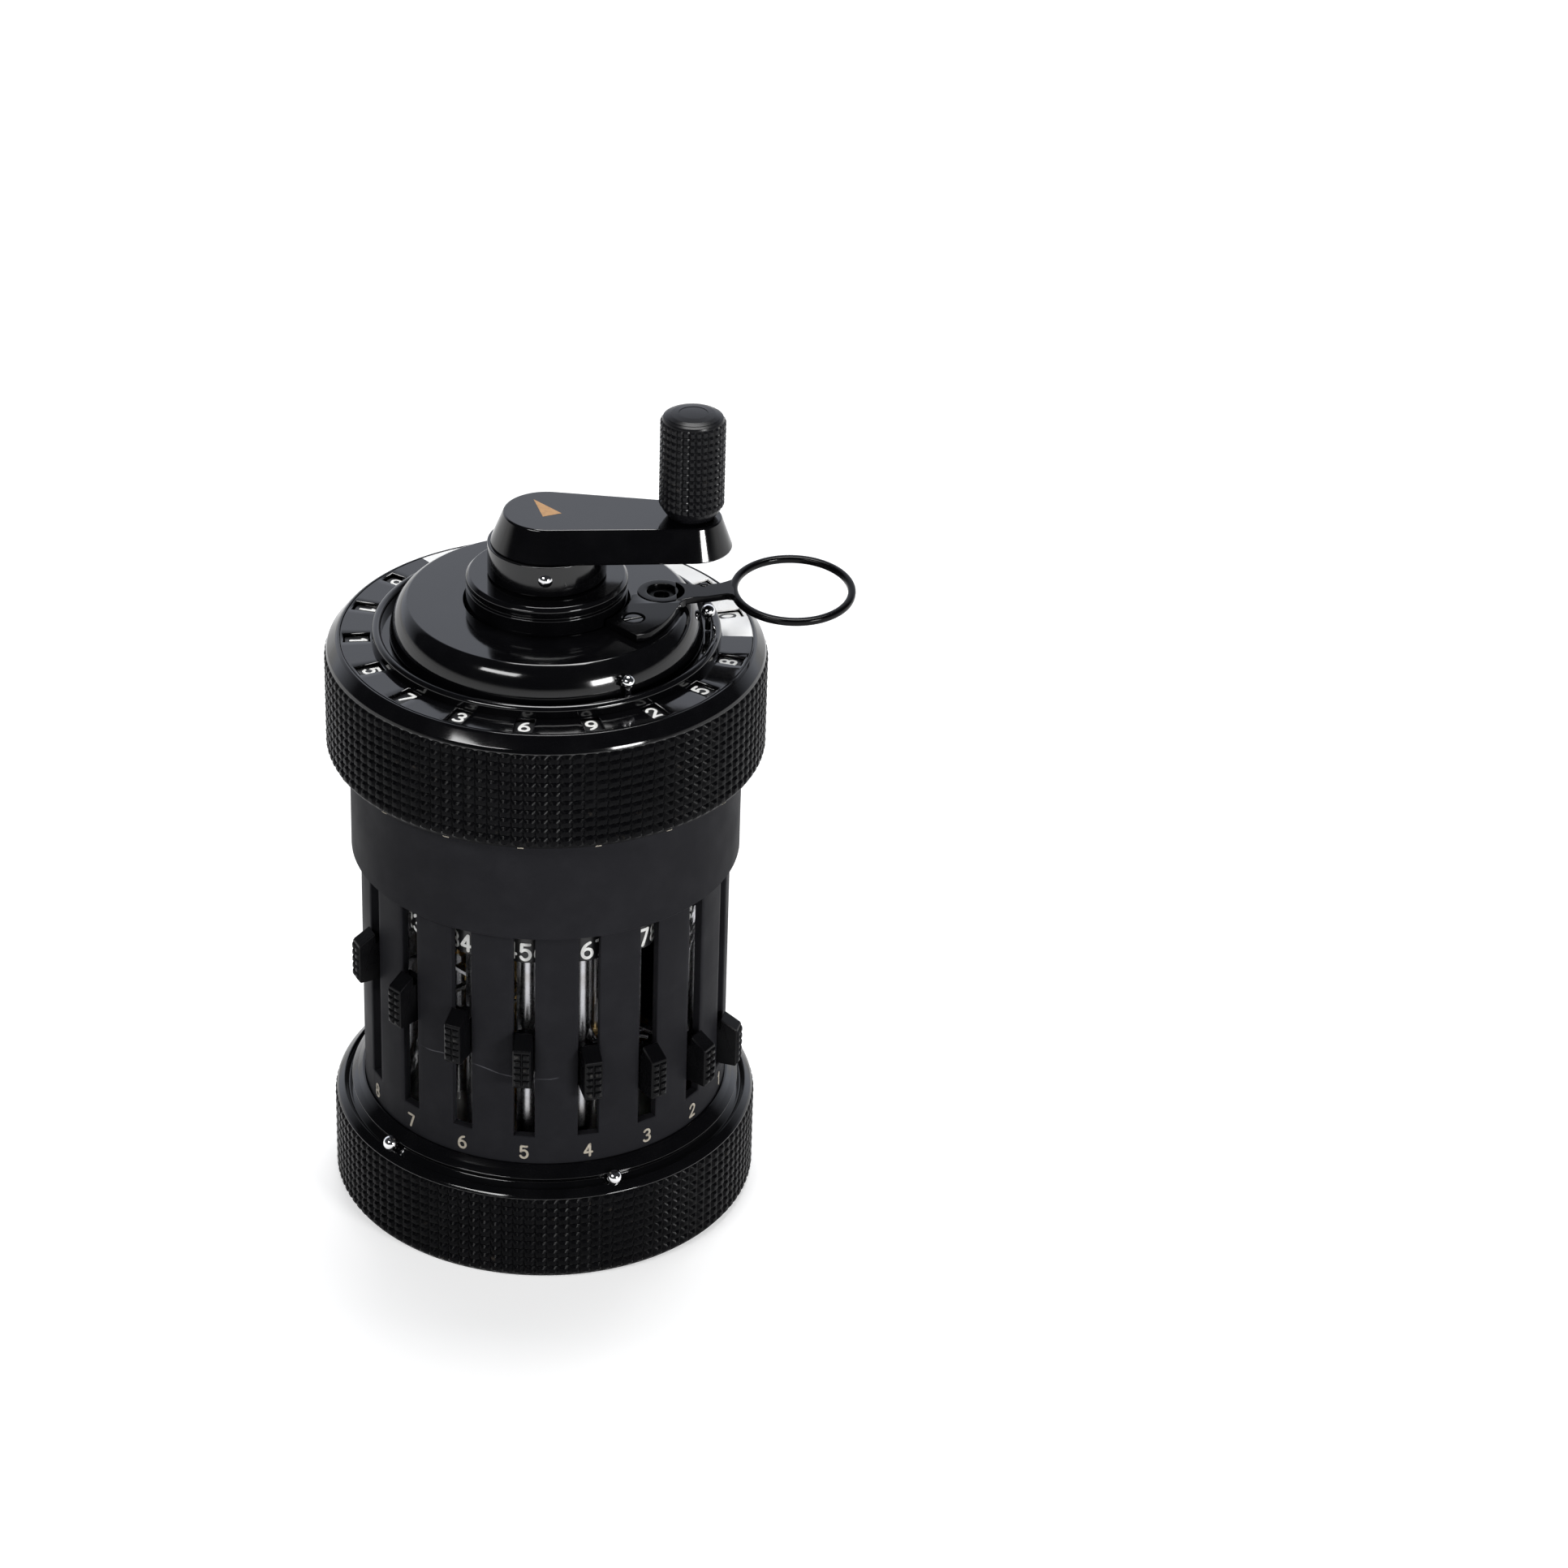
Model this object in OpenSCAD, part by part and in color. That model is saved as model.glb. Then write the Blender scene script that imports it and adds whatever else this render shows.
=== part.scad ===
// Cylindrical hand-cranked pocket calculator, millimetres, +Z up.
// The origin is the middle of the base's flat underside.
// Azimuth 0 faces -Y, the middle of the slider bank, and grows towards +X.

/* [Base] */
// Radius over the base cap's knurl
base_r = 26.4; // [25:0.1:30]
// Height of the base cap's knurled band
base_knurl_h = 11.5; // [9:0.1:13]
// Height of the base cap up to the body
base_h = 14.6; // [14:0.1:18]
// Thickness of the base cap's floor
base_floor = 2; // [1:0.1:4]
// Width of the decimal markers' groove in the base cap's shoulder
marker_groove_w = 1.2; // [1:0.05:1.5]
// Radius of a base decimal marker's bead
marker_bead_r = 0.95; // [0.7:0.05:1.1]

/* [Body] */
// Radius of the slotted body
body_r = 22.57; // [22:0.01:24]
// Wall of the slotted body
shell_wall = 1.07; // [0.6:0.01:1.6]
// Width of a slider's slot
slot_w = 2.6; // [2.4:0.1:3.4]
// Length of a slider's slot
slot_len = 28.9; // [26:0.1:32]
// From the base cap's top to the slots' lower end
slot_rise = 3.8; // [3:0.1:6]
// Wall of the plain collar above the slots
collar_wall = 1.1; // [0.6:0.05:1.6]
// Height of the plain collar
collar_h = 18.7; // [17.5:0.1:22]
// Angle between two neighbouring places
place_pitch = 20; // [19.8:0.05:20]

/* [Sliders] */
// Width of a slider's knob
slider_w = 2.2; // [1.6:0.1:2.3]
// How far a slider's knob stands out of the body
slider_out = 2.63; // [1.5:0.01:3.2]
// Height of a slider's ribbed face
slider_face_h = 5.3; // [3.6:0.1:5.6]
// Radius of the digit drum on a setting shaft
digit_drum_r = 2.9; // [2.3:0.05:2.95]
// Radius of a setting shaft
setting_shaft_r = 1.4; // [1:0.05:1.5]

/* [Mechanism] */
// Radius of the main shaft
main_shaft_r = 2.5; // [1.8:0.05:3]
// Radius of the stepped drum's core
drum_core_r = 7.6; // [5:0.1:8.2]
// Height of the stepped drum's teeth above its core
drum_tooth = 1.8; // [1:0.05:2]
// Radius of a transmission shaft
transmission_r = 0.8; // [0.5:0.05:0.9]
// Radius of the sliding gear on a transmission shaft
slide_gear_r = 1.75; // [1.6:0.05:1.8]
// Thickness of the upper frame's plate
upper_plate_t = 3; // [2:0.1:4]
// Thickness of the lower frame's plate
lower_plate_t = 2.5; // [2:0.1:3]
// Outer radius of the central tube
tube_r = 5.5; // [4.6:0.05:5.6]
// Radius of the carriage spring's wire
spring_wire_r = 0.55; // [0.3:0.05:0.6]
// Coils in the carriage spring
spring_turns = 6; // [4:1:7]
// How far the crank is drawn up
crank_lift = 3; // [1:0.5:3]

/* [Carriage] */
// Wall of the carriage's skirt
skirt_wall = 2.5; // [2:0.1:3]
// How far the carriage's skirt covers the collar
skirt_cover = 4.8; // [4.2:0.1:6]
// Height of the carriage's knurled band
carriage_knurl_h = 12.5; // [12:0.1:13]
// Radius of a number dial
dial_r = 3; // [2:0.05:3.1]
// Length of a number dial
dial_len = 3.7; // [3:0.1:3.9]
// Width of a number window
window_w = 2; // [1.5:0.1:3]
// Radial length of a number window
window_len = 3.1; // [2:0.1:3.2]
// How far the carriage is lifted
carriage_lift = 4; // [2:0.5:4]
// Radius of the carriage marker's bead
carriage_bead_r = 0.8; // [0.6:0.05:0.85]

/* [Clearing lever] */
// Azimuth of the lever at rest
lever_az = 87; // [60:1:120]
// From the boss out to the lever's eye
lever_eye_gap = 1.1; // [0.8:0.05:1.4]
// From the main axis to the middle of the finger ring
ring_at = 29.2; // [27:0.1:33]
// Outer radius of the finger ring
ring_r = 7.5; // [6:0.05:8]
// Width of the finger ring's band
ring_band = 0.95; // [0.6:0.05:2]
// Width of the lever's neck
neck_w = 3; // [2:0.1:3.6]
// Thickness of the lever
lever_t = 0.9; // [0.6:0.05:1.2]

/* [Crank] */
// Radius of the boss under the crank
boss_r = 9.6; // [9:0.1:9.8]
// Radius of the crank's hub
hub_r = 7.05; // [6:0.05:7.6]
// Height of the crank's hub below the arm
hub_h = 3.9; // [3.6:0.1:6]
// Thickness of the crank's arm
arm_t = 3.95; // [2.6:0.05:5]
// From the main axis to the knob's axis
knob_at = 16.9; // [14:0.1:22]
// Radius of the crank's knob
knob_r = 3.88; // [3.4:0.02:4.6]
// Height of the knob's grip
knob_h = 12.3; // [8:0.1:16]
// Radius of the knob's spindle
spindle_r = 1.5; // [1:0.05:1.8]
// Radius of the pin through the hub
hub_pin_r = 0.85; // [0.5:0.05:1.1]

/* [Hidden] */
$fn = 96;
fit = 0.02;
run_fit = 0.05;
clear = 0.3;
face_gap = 0.1;
cut = 1;

// Places and the digits that the sliders stand at
place_count = 8;
first_place_az = place_pitch * (place_count - 1) / 2;
function place_az(p) = first_place_az - place_pitch * (p - 1);
function place_digit(p) = 10 - p;
result_count = 11;
counter_count = 6;
// The two gaps between the result dials and the counter dials are alike
dial_gap = (360 - place_pitch * (result_count + counter_count - 2)) / 2;
function counter_az(n) = first_place_az + dial_gap + place_pitch * (n - 1);
dial_azimuths = concat(
    [for (p = [1 : result_count]) place_az(p)],
    [for (n = [1 : counter_count]) counter_az(n)]);

// Levels from the base up
seat_depth = 3.6;
seat_z = base_h - seat_depth;
lower_top = seat_z + lower_plate_t;
slot_z = base_h + slot_rise;
slot_top = slot_z + slot_len;
collar_top = slot_top + collar_h;
upper_rise = 9.7;
upper_z = slot_top + upper_rise;
upper_top = upper_z + upper_plate_t;
carriage_z = collar_top - skirt_cover;
flange_z = collar_top + clear;
flange_t = 2;
knurl_top = carriage_z + carriage_knurl_h;
ring_t = 0.7;
ring_rise = 14.5;
ring_top = carriage_z + ring_rise;
ring_z = ring_top - ring_t;
dial_z = ring_z - clear - dial_r;
web_t = 0.9;
web_z = ring_z - face_gap - web_t;
plate_t = 1.2;
plate_rise = 4.7;
plate_top = ring_top + plate_rise;
lever_z = plate_top + face_gap;
lever_top = lever_z + lever_t;
cup_flange_t = 0.6;
cup_top = ring_z + cup_flange_t;
boss_z = cup_top + carriage_lift + clear;
boss_top = plate_top + 3.5;
nut_z = boss_z - 1.2;
hub_z = boss_top + 0.2;
arm_z = hub_z + hub_h;
arm_top = arm_z + arm_t;
knob_z = arm_top + 0.2;

// Radii from the body inwards and outwards
shell_in = body_r - shell_wall;
collar_bore = body_r + fit;
collar_r = collar_bore + collar_wall;
skirt_bore = collar_r + clear;
carriage_r = skirt_bore + skirt_wall;
setting_at = shell_in - clear - digit_drum_r;
drum_r = drum_core_r + drum_tooth;
transmission_at = drum_r + 0.35 + slide_gear_r;
frame_r = shell_in - run_fit;

// Setting sliders
slider_rest_drop = 7.6;
slider_room = 10.9;
digit_step = (slot_len - slider_room) / 9;
function slider_z(p) = slot_top - slider_rest_drop - digit_step * place_digit(p);
guide_t = 0.7;
guide_half_w = 2.1;
guide_half_h = 2.6;
guide_out = sqrt(pow(shell_in - face_gap, 2) - pow(guide_half_w, 2));
guide_in = guide_out - guide_t;
roof_rise = 1.3;
fork_t = 0.5;
fork_half_w = slide_gear_r;
groove_h = 0.7;
groove_r = 1.2;
fork_slot = groove_r + face_gap;
fork_base = 1.05;
fork_reach = 0.5;
arm_in = setting_shaft_r + clear;
arm_w = 0.8;
gear_h = 1.2;
gear_lip = 0.5;
gear_teeth = 10;

// Setting shafts
pivot_r = 0.6;
pivot_depth = 2;
upper_pivot_depth = 1.5;
digit_drum_h = 4.7;

// Stepped drum and ratchet wheel
drum_margin = 1.2;
drum_z = slider_z(place_count) - (9 - place_digit(place_count)) * digit_step - drum_margin;
drum_h = 9 * digit_step + 2 * drum_margin + 1.6;
drum_step_angle = 36 / 2;
drum_tooth_w = 1;
ratchet_z = lower_top + 0.2;
ratchet_t = 2.5;
ratchet_r = transmission_at - transmission_r - 1.3;
ratchet_teeth = 30;
ratchet_depth = 0.9;
shaft_z = base_floor + crank_lift + 1;
shaft_top = arm_z + 1.5;

// Transmission shafts
pinion_r = 1.5;
pinion_h = 1.3;
pinion_teeth = 8;
dial_pinion_r = 1.5;
dial_pinion_len = 2.2;
transmission_top = dial_z - dial_pinion_r - 0.4;

// Carriage
dial_out = carriage_r - 2.3;
dial_in = dial_out - dial_len;
dial_axle_r = 0.6;
dial_pinion_in = transmission_at - dial_pinion_len / 2;
frame_out = dial_in - 0.5;
frame_wall = 1.5;
inner_wall_in = transmission_at + dial_pinion_len / 2 + 1.4;
carriage_bore = dial_out + 0.2;
ring_seat_r = carriage_bore + 0.25;
window_at = dial_out - 0.25 - window_len / 2;
ridge_out = window_at - window_len / 2 - 0.05;
ridge_r = 0.55;
ridge_at = ridge_out - ridge_r;
groove_out = ridge_at - ridge_r;
plate_r = groove_out - 1;
ring_in = plate_r - 1.6;
marker_at = (groove_out + plate_r) / 2 + 0.05;

// Spring and the cup that carries it
cup_z = upper_top + 2.5;
cup_floor = 1;
cup_in = tube_r + 2.7;
cup_r = cup_in + 0.8;
cup_flange_r = cup_r + 1;
nut_stub_r = cup_in - 0.2;
spring_r = tube_r + 1.8;
spring_z = cup_z + cup_floor;
spring_rings = 12;
spring_sides = 6;

// Base cap's shoulder and its markers
shoulder_out = [base_r - 0.4, base_knurl_h + 0.5];
shoulder_in = [body_r + 0.93, base_h - 0.6];
shoulder_run = shoulder_in - shoulder_out;
shoulder_dir = shoulder_run / norm(shoulder_run);
shoulder_up = [shoulder_dir[1], -shoulder_dir[0]];
shoulder_tilt = atan2(shoulder_up[0], shoulder_up[1]);
groove_depth = 0.9;
marker_foot_r = marker_groove_w / 2 - 0.15;
marker_foot_h = 0.75;
base_marker_az = [-53, 16.35];
shoulder_mid = (shoulder_out + shoulder_in) / 2;
carriage_marker_az = 25.7;

// Reversing slider at the back
reverse_az = 130;
reverse_slot_z = slot_top + 2.2;
reverse_half_h = 1.3;
reverse_travel = 3;
reverse_end_gap = 0.4;
reverse_slot_len = 2 * reverse_half_h + reverse_travel + 2 * reverse_end_gap;
reverse_guide_half_h = 1.9;

// Clearing lever and its bracket
slope_w = 2.19;
flat_r = plate_r - slope_w;
eye_r = 2.9;
eye_room = 0.15;
lever_pivot_at = boss_r + lever_eye_gap + eye_r;
bracket_in = boss_r + 0.5;
bracket_r = lever_pivot_at + 2.25;
bracket_w = bracket_r - bracket_in;
bracket_from = 40;
bracket_to = lever_az - 10;
bracket_floor = 0.3;
bracket_screw_at = bracket_in + bracket_w * 0.365;
bracket_screw_az = 52.8;
bracket_screw_r = bracket_w * 0.12;
screw_head_r = bracket_w * 0.2;
screw_head_h = 0.6;
screw_slot_w = 0.3;
screw_slot_d = 0.25;
pivot_post_r = eye_r * 0.585;
pivot_stem_r = pivot_post_r * 0.59;
flare_len = 4;

// Crank arm and knob
arm_hub_low = hub_r - 0.3;
arm_hub_top = arm_hub_low - 1.6;
arm_knob_low = 5;
arm_knob_top = arm_knob_low - 1.4;
knob_az = 83;
hub_pin_az = -5;
hub_pin_z = hub_z + hub_h * 0.55;
hub_pin_dome = 0.3;
spindle_top = knob_z + knob_h - 1.2;
knob_chamfer = 1.4;
knob_foot_r = knob_r - 1.18;
knob_cap_r = knob_r - 0.53;
knob_cap_h = 0.45;
knob_dome_h = 0.45;

// Puts a child that stands at radius r on the azimuth az
module at_az(az, r = 0) {
    rotate([0, 0, az]) translate([0, -r, 0]) children();
}

// A full ring or disc from a profile of [radius, height] points
module turned(points) {
    rotate_extrude() polygon(points);
}

// A plain tube between two heights
module tube(r_in, r_out, z0, z1) {
    turned([[r_in, z0], [r_out, z0], [r_out, z1], [r_in, z1]]);
}

// A shaft or hole along Z
module rod(r, z0, z1) {
    translate([0, 0, z0]) cylinder(r = r, h = z1 - z0);
}

// A shaft or hole along the outward radius, at height z
module radial_rod(r, from, to, z) {
    translate([0, -from, z]) rotate([90, 0, 0]) cylinder(r = r, h = to - from);
}

// Points of a circular arc from angle a0 to a1
function arc(c, r, a0, a1, n = 12) =
    [for (i = [0 : n]) c + r * [cos(a0 + (a1 - a0) * i / n), sin(a0 + (a1 - a0) * i / n)]];

// A straight-flanked gear's outline
function gear_points(teeth, root, tip) =
    [for (i = [0 : teeth - 1], s = [[0, root], [0.3, root], [0.45, tip], [0.85, tip]])
        let (a = 360 * (i + s[0]) / teeth) s[1] * [cos(a), sin(a)]];

// A ratchet's saw-tooth outline
function saw_points(teeth, root, tip) =
    [for (i = [0 : teeth - 1], s = [[0, root], [0.8, tip]])
        let (a = 360 * (i + s[0]) / teeth) s[1] * [cos(a), sin(a)]];

module base_cap() {
    bore = body_r + fit;
    groove_a = shoulder_mid - shoulder_dir * marker_groove_w / 2;
    groove_b = shoulder_mid + shoulder_dir * marker_groove_w / 2;
    edge = 0.5;
    color("#1c1c1e") turned([
        [0, 0], [base_r - edge, 0], [base_r, edge], [base_r, base_knurl_h], shoulder_out,
        groove_a, groove_a - shoulder_up * groove_depth, groove_b - shoulder_up * groove_depth, groove_b,
        shoulder_in, [bore + 0.3, base_h], [bore, base_h], [bore, seat_z], [shell_in - edge, seat_z],
        [shell_in - edge, base_floor], [0, base_floor]]);
}

// One slot for a slider, cut right through the wall from radius r_in outwards
module slot(az, z0, len, r_in, r_out) {
    at_az(az) translate([-slot_w / 2, -r_out, z0]) cube([slot_w, r_out - r_in, len]);
}

module housing_shell() {
    color("#242426") difference() {
        tube(shell_in, body_r, seat_z, upper_z);
        for (p = [1 : place_count]) slot(place_az(p), slot_z, slot_len, shell_in - cut, body_r + cut);
        slot(reverse_az, reverse_slot_z, reverse_slot_len, shell_in - cut, body_r + cut);
    }
}

module label_collar() {
    color("#242426") difference() {
        tube(collar_bore, collar_r, slot_top, collar_top);
        slot(reverse_az, reverse_slot_z, reverse_slot_len, collar_bore - cut, collar_r + cut);
    }
}

// Holes for the shafts that stand in a frame plate
module shaft_holes(z0, z1) {
    rod(main_shaft_r + run_fit, z0 - cut, z1 + cut);
    for (az = dial_azimuths) at_az(az, transmission_at) rod(transmission_r + fit, z0 - cut, z1 + cut);
    for (p = [1 : place_count]) at_az(place_az(p), setting_at) rod(pivot_r + run_fit, z0 - cut, z1 + cut);
}

module lower_frame() {
    color("#b8a878") difference() {
        rod(frame_r, seat_z, lower_top);
        shaft_holes(seat_z, lower_top);
    }
}

module upper_frame() {
    color("#b8a878") difference() {
        union() {
            rod(body_r, upper_z, upper_top);
            rod(tube_r, upper_top - fit, boss_top);
        }
        shaft_holes(upper_z, boss_top);
    }
}

module retaining_nut() {
    bore = tube_r + fit;
    groove = 0.3;
    slant = 0.1;
    low = boss_top - 1.6;
    high = low + groove + 2 * slant;
    edge = 0.4;
    color("#1c1c1e") turned([
        [bore, nut_z], [nut_stub_r, nut_z], [nut_stub_r, boss_z], [boss_r, boss_z],
        [boss_r, low], [boss_r - groove, low + slant], [boss_r - groove, high - slant],
        [boss_r, high], [boss_r, boss_top - edge], [boss_r - edge, boss_top], [bore, boss_top]]);
}

// A round wire wound on a cylinder, as one closed tube
module coil(r, wire, z0, z1, turns, rings, sides) {
    count = turns * rings;
    points = [for (i = [0 : count], k = [0 : sides - 1])
        let (a = 360 * i / rings, b = 360 * k / sides, d = r + wire * cos(b))
        [d * cos(a), d * sin(a), z0 + wire + (z1 - z0 - 2 * wire) * i / count + wire * sin(b)]];
    walls = [for (i = [0 : count - 1], k = [0 : sides - 1], half = [0, 1])
        let (a = i * sides + k, b = i * sides + (k + 1) % sides)
        half == 0 ? [a, b, b + sides] : [a, b + sides, a + sides]];
    low_end = [for (k = [1 : sides - 2]) [0, k + 1, k]];
    high_end = [for (k = [1 : sides - 2]) [count * sides, count * sides + k, count * sides + k + 1]];
    polyhedron(points, concat(walls, low_end, high_end));
}

module carriage_spring() {
    color("silver") coil(spring_r, spring_wire_r, spring_z + face_gap, nut_z - face_gap,
        spring_turns, spring_rings, spring_sides);
}

module transmission_shafts() {
    color("silver") for (az = dial_azimuths) at_az(az, transmission_at) {
        rod(transmission_r, seat_z, transmission_top);
        translate([0, 0, transmission_top - pinion_h]) linear_extrude(pinion_h)
            polygon(gear_points(pinion_teeth, pinion_r * 0.7, pinion_r));
    }
}

module ratchet_wheel() {
    color("goldenrod") difference() {
        translate([0, 0, ratchet_z]) linear_extrude(ratchet_t)
            polygon(saw_points(ratchet_teeth, ratchet_r - ratchet_depth, ratchet_r));
        rod(main_shaft_r + run_fit, ratchet_z - cut, ratchet_z + ratchet_t + cut);
    }
}

// The hole that the hub's cross pin passes through
module hub_pin_hole() {
    at_az(hub_pin_az) radial_rod(hub_pin_r + fit, -hub_r - cut, hub_r + cut, hub_pin_z);
}

module main_shaft() {
    color("silver") difference() {
        rod(main_shaft_r, shaft_z, shaft_top);
        hub_pin_hole();
    }
}

// Nine teeth, each one digit shorter than the one before it
module step_drum() {
    end_gap = digit_step / 2;
    color("goldenrod") difference() {
        union() {
            rod(drum_core_r, drum_z, drum_z + drum_h);
            for (t = [0 : 8]) at_az(t * drum_step_angle)
                translate([-drum_tooth_w / 2, -drum_r, drum_z])
                    cube([drum_tooth_w, drum_r - drum_core_r + cut, drum_margin + digit_step * (9 - t) - end_gap]);
        }
        rod(main_shaft_r + fit, drum_z - cut, drum_z + drum_h + cut);
    }
}

module crank_arm() {
    color("#141416") difference() {
        union() {
            rod(hub_r, hub_z, arm_z);
            hull() {
                translate([0, 0, arm_z]) cylinder(r1 = arm_hub_low, r2 = arm_hub_top, h = arm_t, $fn = 64);
                at_az(knob_az, knob_at) translate([0, 0, arm_z])
                    cylinder(r1 = arm_knob_low, r2 = arm_knob_top, h = arm_t, $fn = 64);
            }
        }
        rod(main_shaft_r + fit, hub_z - cut, shaft_top);
        at_az(knob_az, knob_at) rod(spindle_r + fit, arm_z - cut, arm_top + cut);
        hub_pin_hole();
    }
}

module hub_pin() {
    color("silver") at_az(hub_pin_az) translate([0, 0, hub_pin_z]) rotate([90, 0, 0])
        turned([[0, -hub_r + hub_pin_dome], [hub_pin_r, -hub_r + hub_pin_dome], [hub_pin_r, hub_r - hub_pin_dome],
            [hub_pin_r * 0.85, hub_r + hub_pin_dome * 0.4], [hub_pin_r * 0.5, hub_r + hub_pin_dome * 0.85],
            [0, hub_r + hub_pin_dome]]);
}

module knob_spindle() {
    color("silver") at_az(knob_az, knob_at) rod(spindle_r, arm_z, spindle_top);
}

module crank_knob() {
    bore = spindle_r + run_fit;
    grip_top = knob_z + knob_h;
    cap_z = grip_top + knob_cap_h;
    dome_r = (pow(knob_cap_r, 2) + pow(knob_dome_h, 2)) / (2 * knob_dome_h);
    dome_a = asin(knob_cap_r / dome_r);
    color("#18181a") at_az(knob_az, knob_at) turned(concat(
        [[bore, knob_z], [knob_foot_r, knob_z], [knob_r, knob_z + knob_chamfer], [knob_r, grip_top]],
        arc([0, cap_z + knob_dome_h - dome_r], dome_r, 90 - dome_a, 90),
        [[0, spindle_top + clear], [bore, spindle_top + clear]]));
}

module spring_cup() {
    color("silver") turned([
        [tube_r + run_fit, cup_z], [cup_r, cup_z], [cup_r, ring_z], [cup_flange_r, ring_z],
        [cup_flange_r, cup_top], [cup_in, cup_top], [cup_in, spring_z], [tube_r + run_fit, spring_z]]);
}

module carriage_ring() {
    edge = 0.4;
    rim_w = carriage_r - ring_seat_r;
    rim_h = ring_top - knurl_top;
    color("#1c1c1e") turned([
        [skirt_bore, carriage_z], [carriage_r - edge, carriage_z], [carriage_r, carriage_z + edge],
        [carriage_r, knurl_top], [carriage_r - rim_w * 0.2, knurl_top + rim_h * 0.3],
        [carriage_r - rim_w * 0.8, ring_top - rim_h * 0.1], [carriage_r - rim_w * 0.9, ring_top],
        [ring_seat_r, ring_top], [ring_seat_r, ring_z], [carriage_bore, ring_z],
        [carriage_bore, flange_z + flange_t], [frame_out + run_fit, flange_z + flange_t],
        [frame_out + run_fit, flange_z], [skirt_bore, flange_z]]);
}

module carriage_frame() {
    color("silver") difference() {
        union() {
            tube(cup_r + run_fit, frame_out, web_z, web_z + web_t);
            tube(inner_wall_in, inner_wall_in + frame_wall, dial_z - 1.6, web_z + fit);
            tube(frame_out - frame_wall, frame_out, flange_z, web_z + fit);
        }
        for (az = dial_azimuths) at_az(az)
            radial_rod(dial_axle_r + run_fit, inner_wall_in - cut, frame_out + cut, dial_z);
    }
}

module window_ring() {
    color("#141416") difference() {
        union() {
            tube(ring_in, ring_seat_r - run_fit, ring_z, ring_top);
            turned(concat([[ridge_at - ridge_r, ring_z + ring_t / 2]],
                [for (q = arc([ridge_at, ring_top + 0.75], ridge_r, 180, 0)) q],
                [[ridge_at + ridge_r, ring_z + ring_t / 2]]));
        }
        for (az = dial_azimuths) at_az(az) translate([-window_w / 2, -window_at - window_len / 2, ring_z - cut])
            cube([window_w, window_len, ring_t + 2 * cut]);
    }
}

// A number dial on its radial axle, with the pinion at the inner end
module number_dial(az, tint) {
    color(tint) at_az(az) {
        radial_rod(dial_axle_r, dial_pinion_in, dial_out, dial_z);
        radial_rod(dial_r, dial_in, dial_out, dial_z);
        translate([0, -dial_pinion_in, dial_z]) rotate([90, 0, 0]) linear_extrude(dial_pinion_len)
            polygon(gear_points(gear_teeth, dial_pinion_r * 0.7, dial_pinion_r));
    }
}

module clearing_plate() {
    hole = boss_r + clear;
    skirt_z = ring_top + 0.2;
    inside = plate_t;
    color("#141416") difference() {
        turned([
            [hole, plate_top - plate_t], [flat_r - inside, plate_top - plate_t], [plate_r - inside, skirt_z + 1],
            [plate_r - inside, skirt_z], [plate_r, skirt_z], [plate_r, skirt_z + 0.4],
            [flat_r + 0.5, plate_top - 0.3], [flat_r, plate_top], [hole, plate_top]]);
        at_az(bracket_screw_az, bracket_screw_at)
            rod(bracket_screw_r + fit, plate_top - plate_t - cut, plate_top + cut);
        at_az(lever_az, lever_pivot_at) rod(pivot_stem_r + fit, plate_top - plate_t - cut, plate_top + cut);
    }
}

// A plate round the boss, as high as the lever, whose eye lies in a pocket in its end
module lever_bracket() {
    color("#141416") difference() {
        translate([0, 0, plate_top]) linear_extrude(lever_top - plate_top) polygon(concat(
            arc([0, 0], bracket_r, bracket_from - 90, bracket_to - 90, 24),
            arc([0, 0], bracket_in, bracket_to - 90, bracket_from - 90, 24)));
        at_az(lever_az, lever_pivot_at) rod(eye_r + eye_room, plate_top - cut, lever_top + cut);
        at_az(bracket_screw_az, bracket_screw_at) {
            rod(screw_head_r + eye_room, plate_top + bracket_floor, lever_top + cut);
            rod(bracket_screw_r + fit, plate_top - cut, lever_top + cut);
        }
    }
}

// The bracket's slotted screw, and the headed post that the lever turns on
module lever_screws() {
    head_z = plate_top + bracket_floor;
    head_top = head_z + screw_head_h;
    color("silver") {
        at_az(bracket_screw_az, bracket_screw_at) difference() {
            union() {
                rod(bracket_screw_r, plate_top - plate_t, head_z + fit);
                rod(screw_head_r, head_z, head_top);
            }
            translate([-screw_slot_w / 2, -screw_head_r - cut, head_top - screw_slot_d])
                cube([screw_slot_w, 2 * (screw_head_r + cut), screw_slot_d + cut]);
        }
        at_az(lever_az, lever_pivot_at) {
            rod(pivot_stem_r, plate_top - plate_t, plate_top + fit);
            rod(pivot_post_r, plate_top, lever_top - 0.2);
        }
    }
}

module clearing_lever() {
    neck_to = ring_at - ring_r + ring_band / 2;
    color("#141416") at_az(lever_az) difference() {
        union() {
            translate([0, -ring_at, 0]) rod(ring_r, lever_z, lever_top);
            translate([0, -lever_pivot_at, 0]) rod(eye_r, lever_z, lever_top);
            translate([0, 0, lever_z]) linear_extrude(lever_t) polygon([
                [-eye_r + 0.2, -lever_pivot_at - 0.5], [eye_r - 0.2, -lever_pivot_at - 0.5],
                [neck_w / 2, -lever_pivot_at - flare_len], [neck_w / 2, -neck_to],
                [-neck_w / 2, -neck_to], [-neck_w / 2, -lever_pivot_at - flare_len]]);
        }
        translate([0, -ring_at, 0]) rod(ring_r - ring_band, lever_z - cut, lever_top + cut);
        translate([0, -lever_pivot_at, 0]) rod(pivot_post_r + run_fit, lever_z - cut, lever_top + cut);
    }
}

// A round-headed bead on a foot, standing on the plane z = 0 with its foot below it
module bead(foot_r, foot_h, head_r) {
    stand = 0.15;
    turned(concat([[0, -foot_h], [foot_r, -foot_h], [foot_r, stand]], arc([0, stand], head_r, 0, 90)));
}

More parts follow.
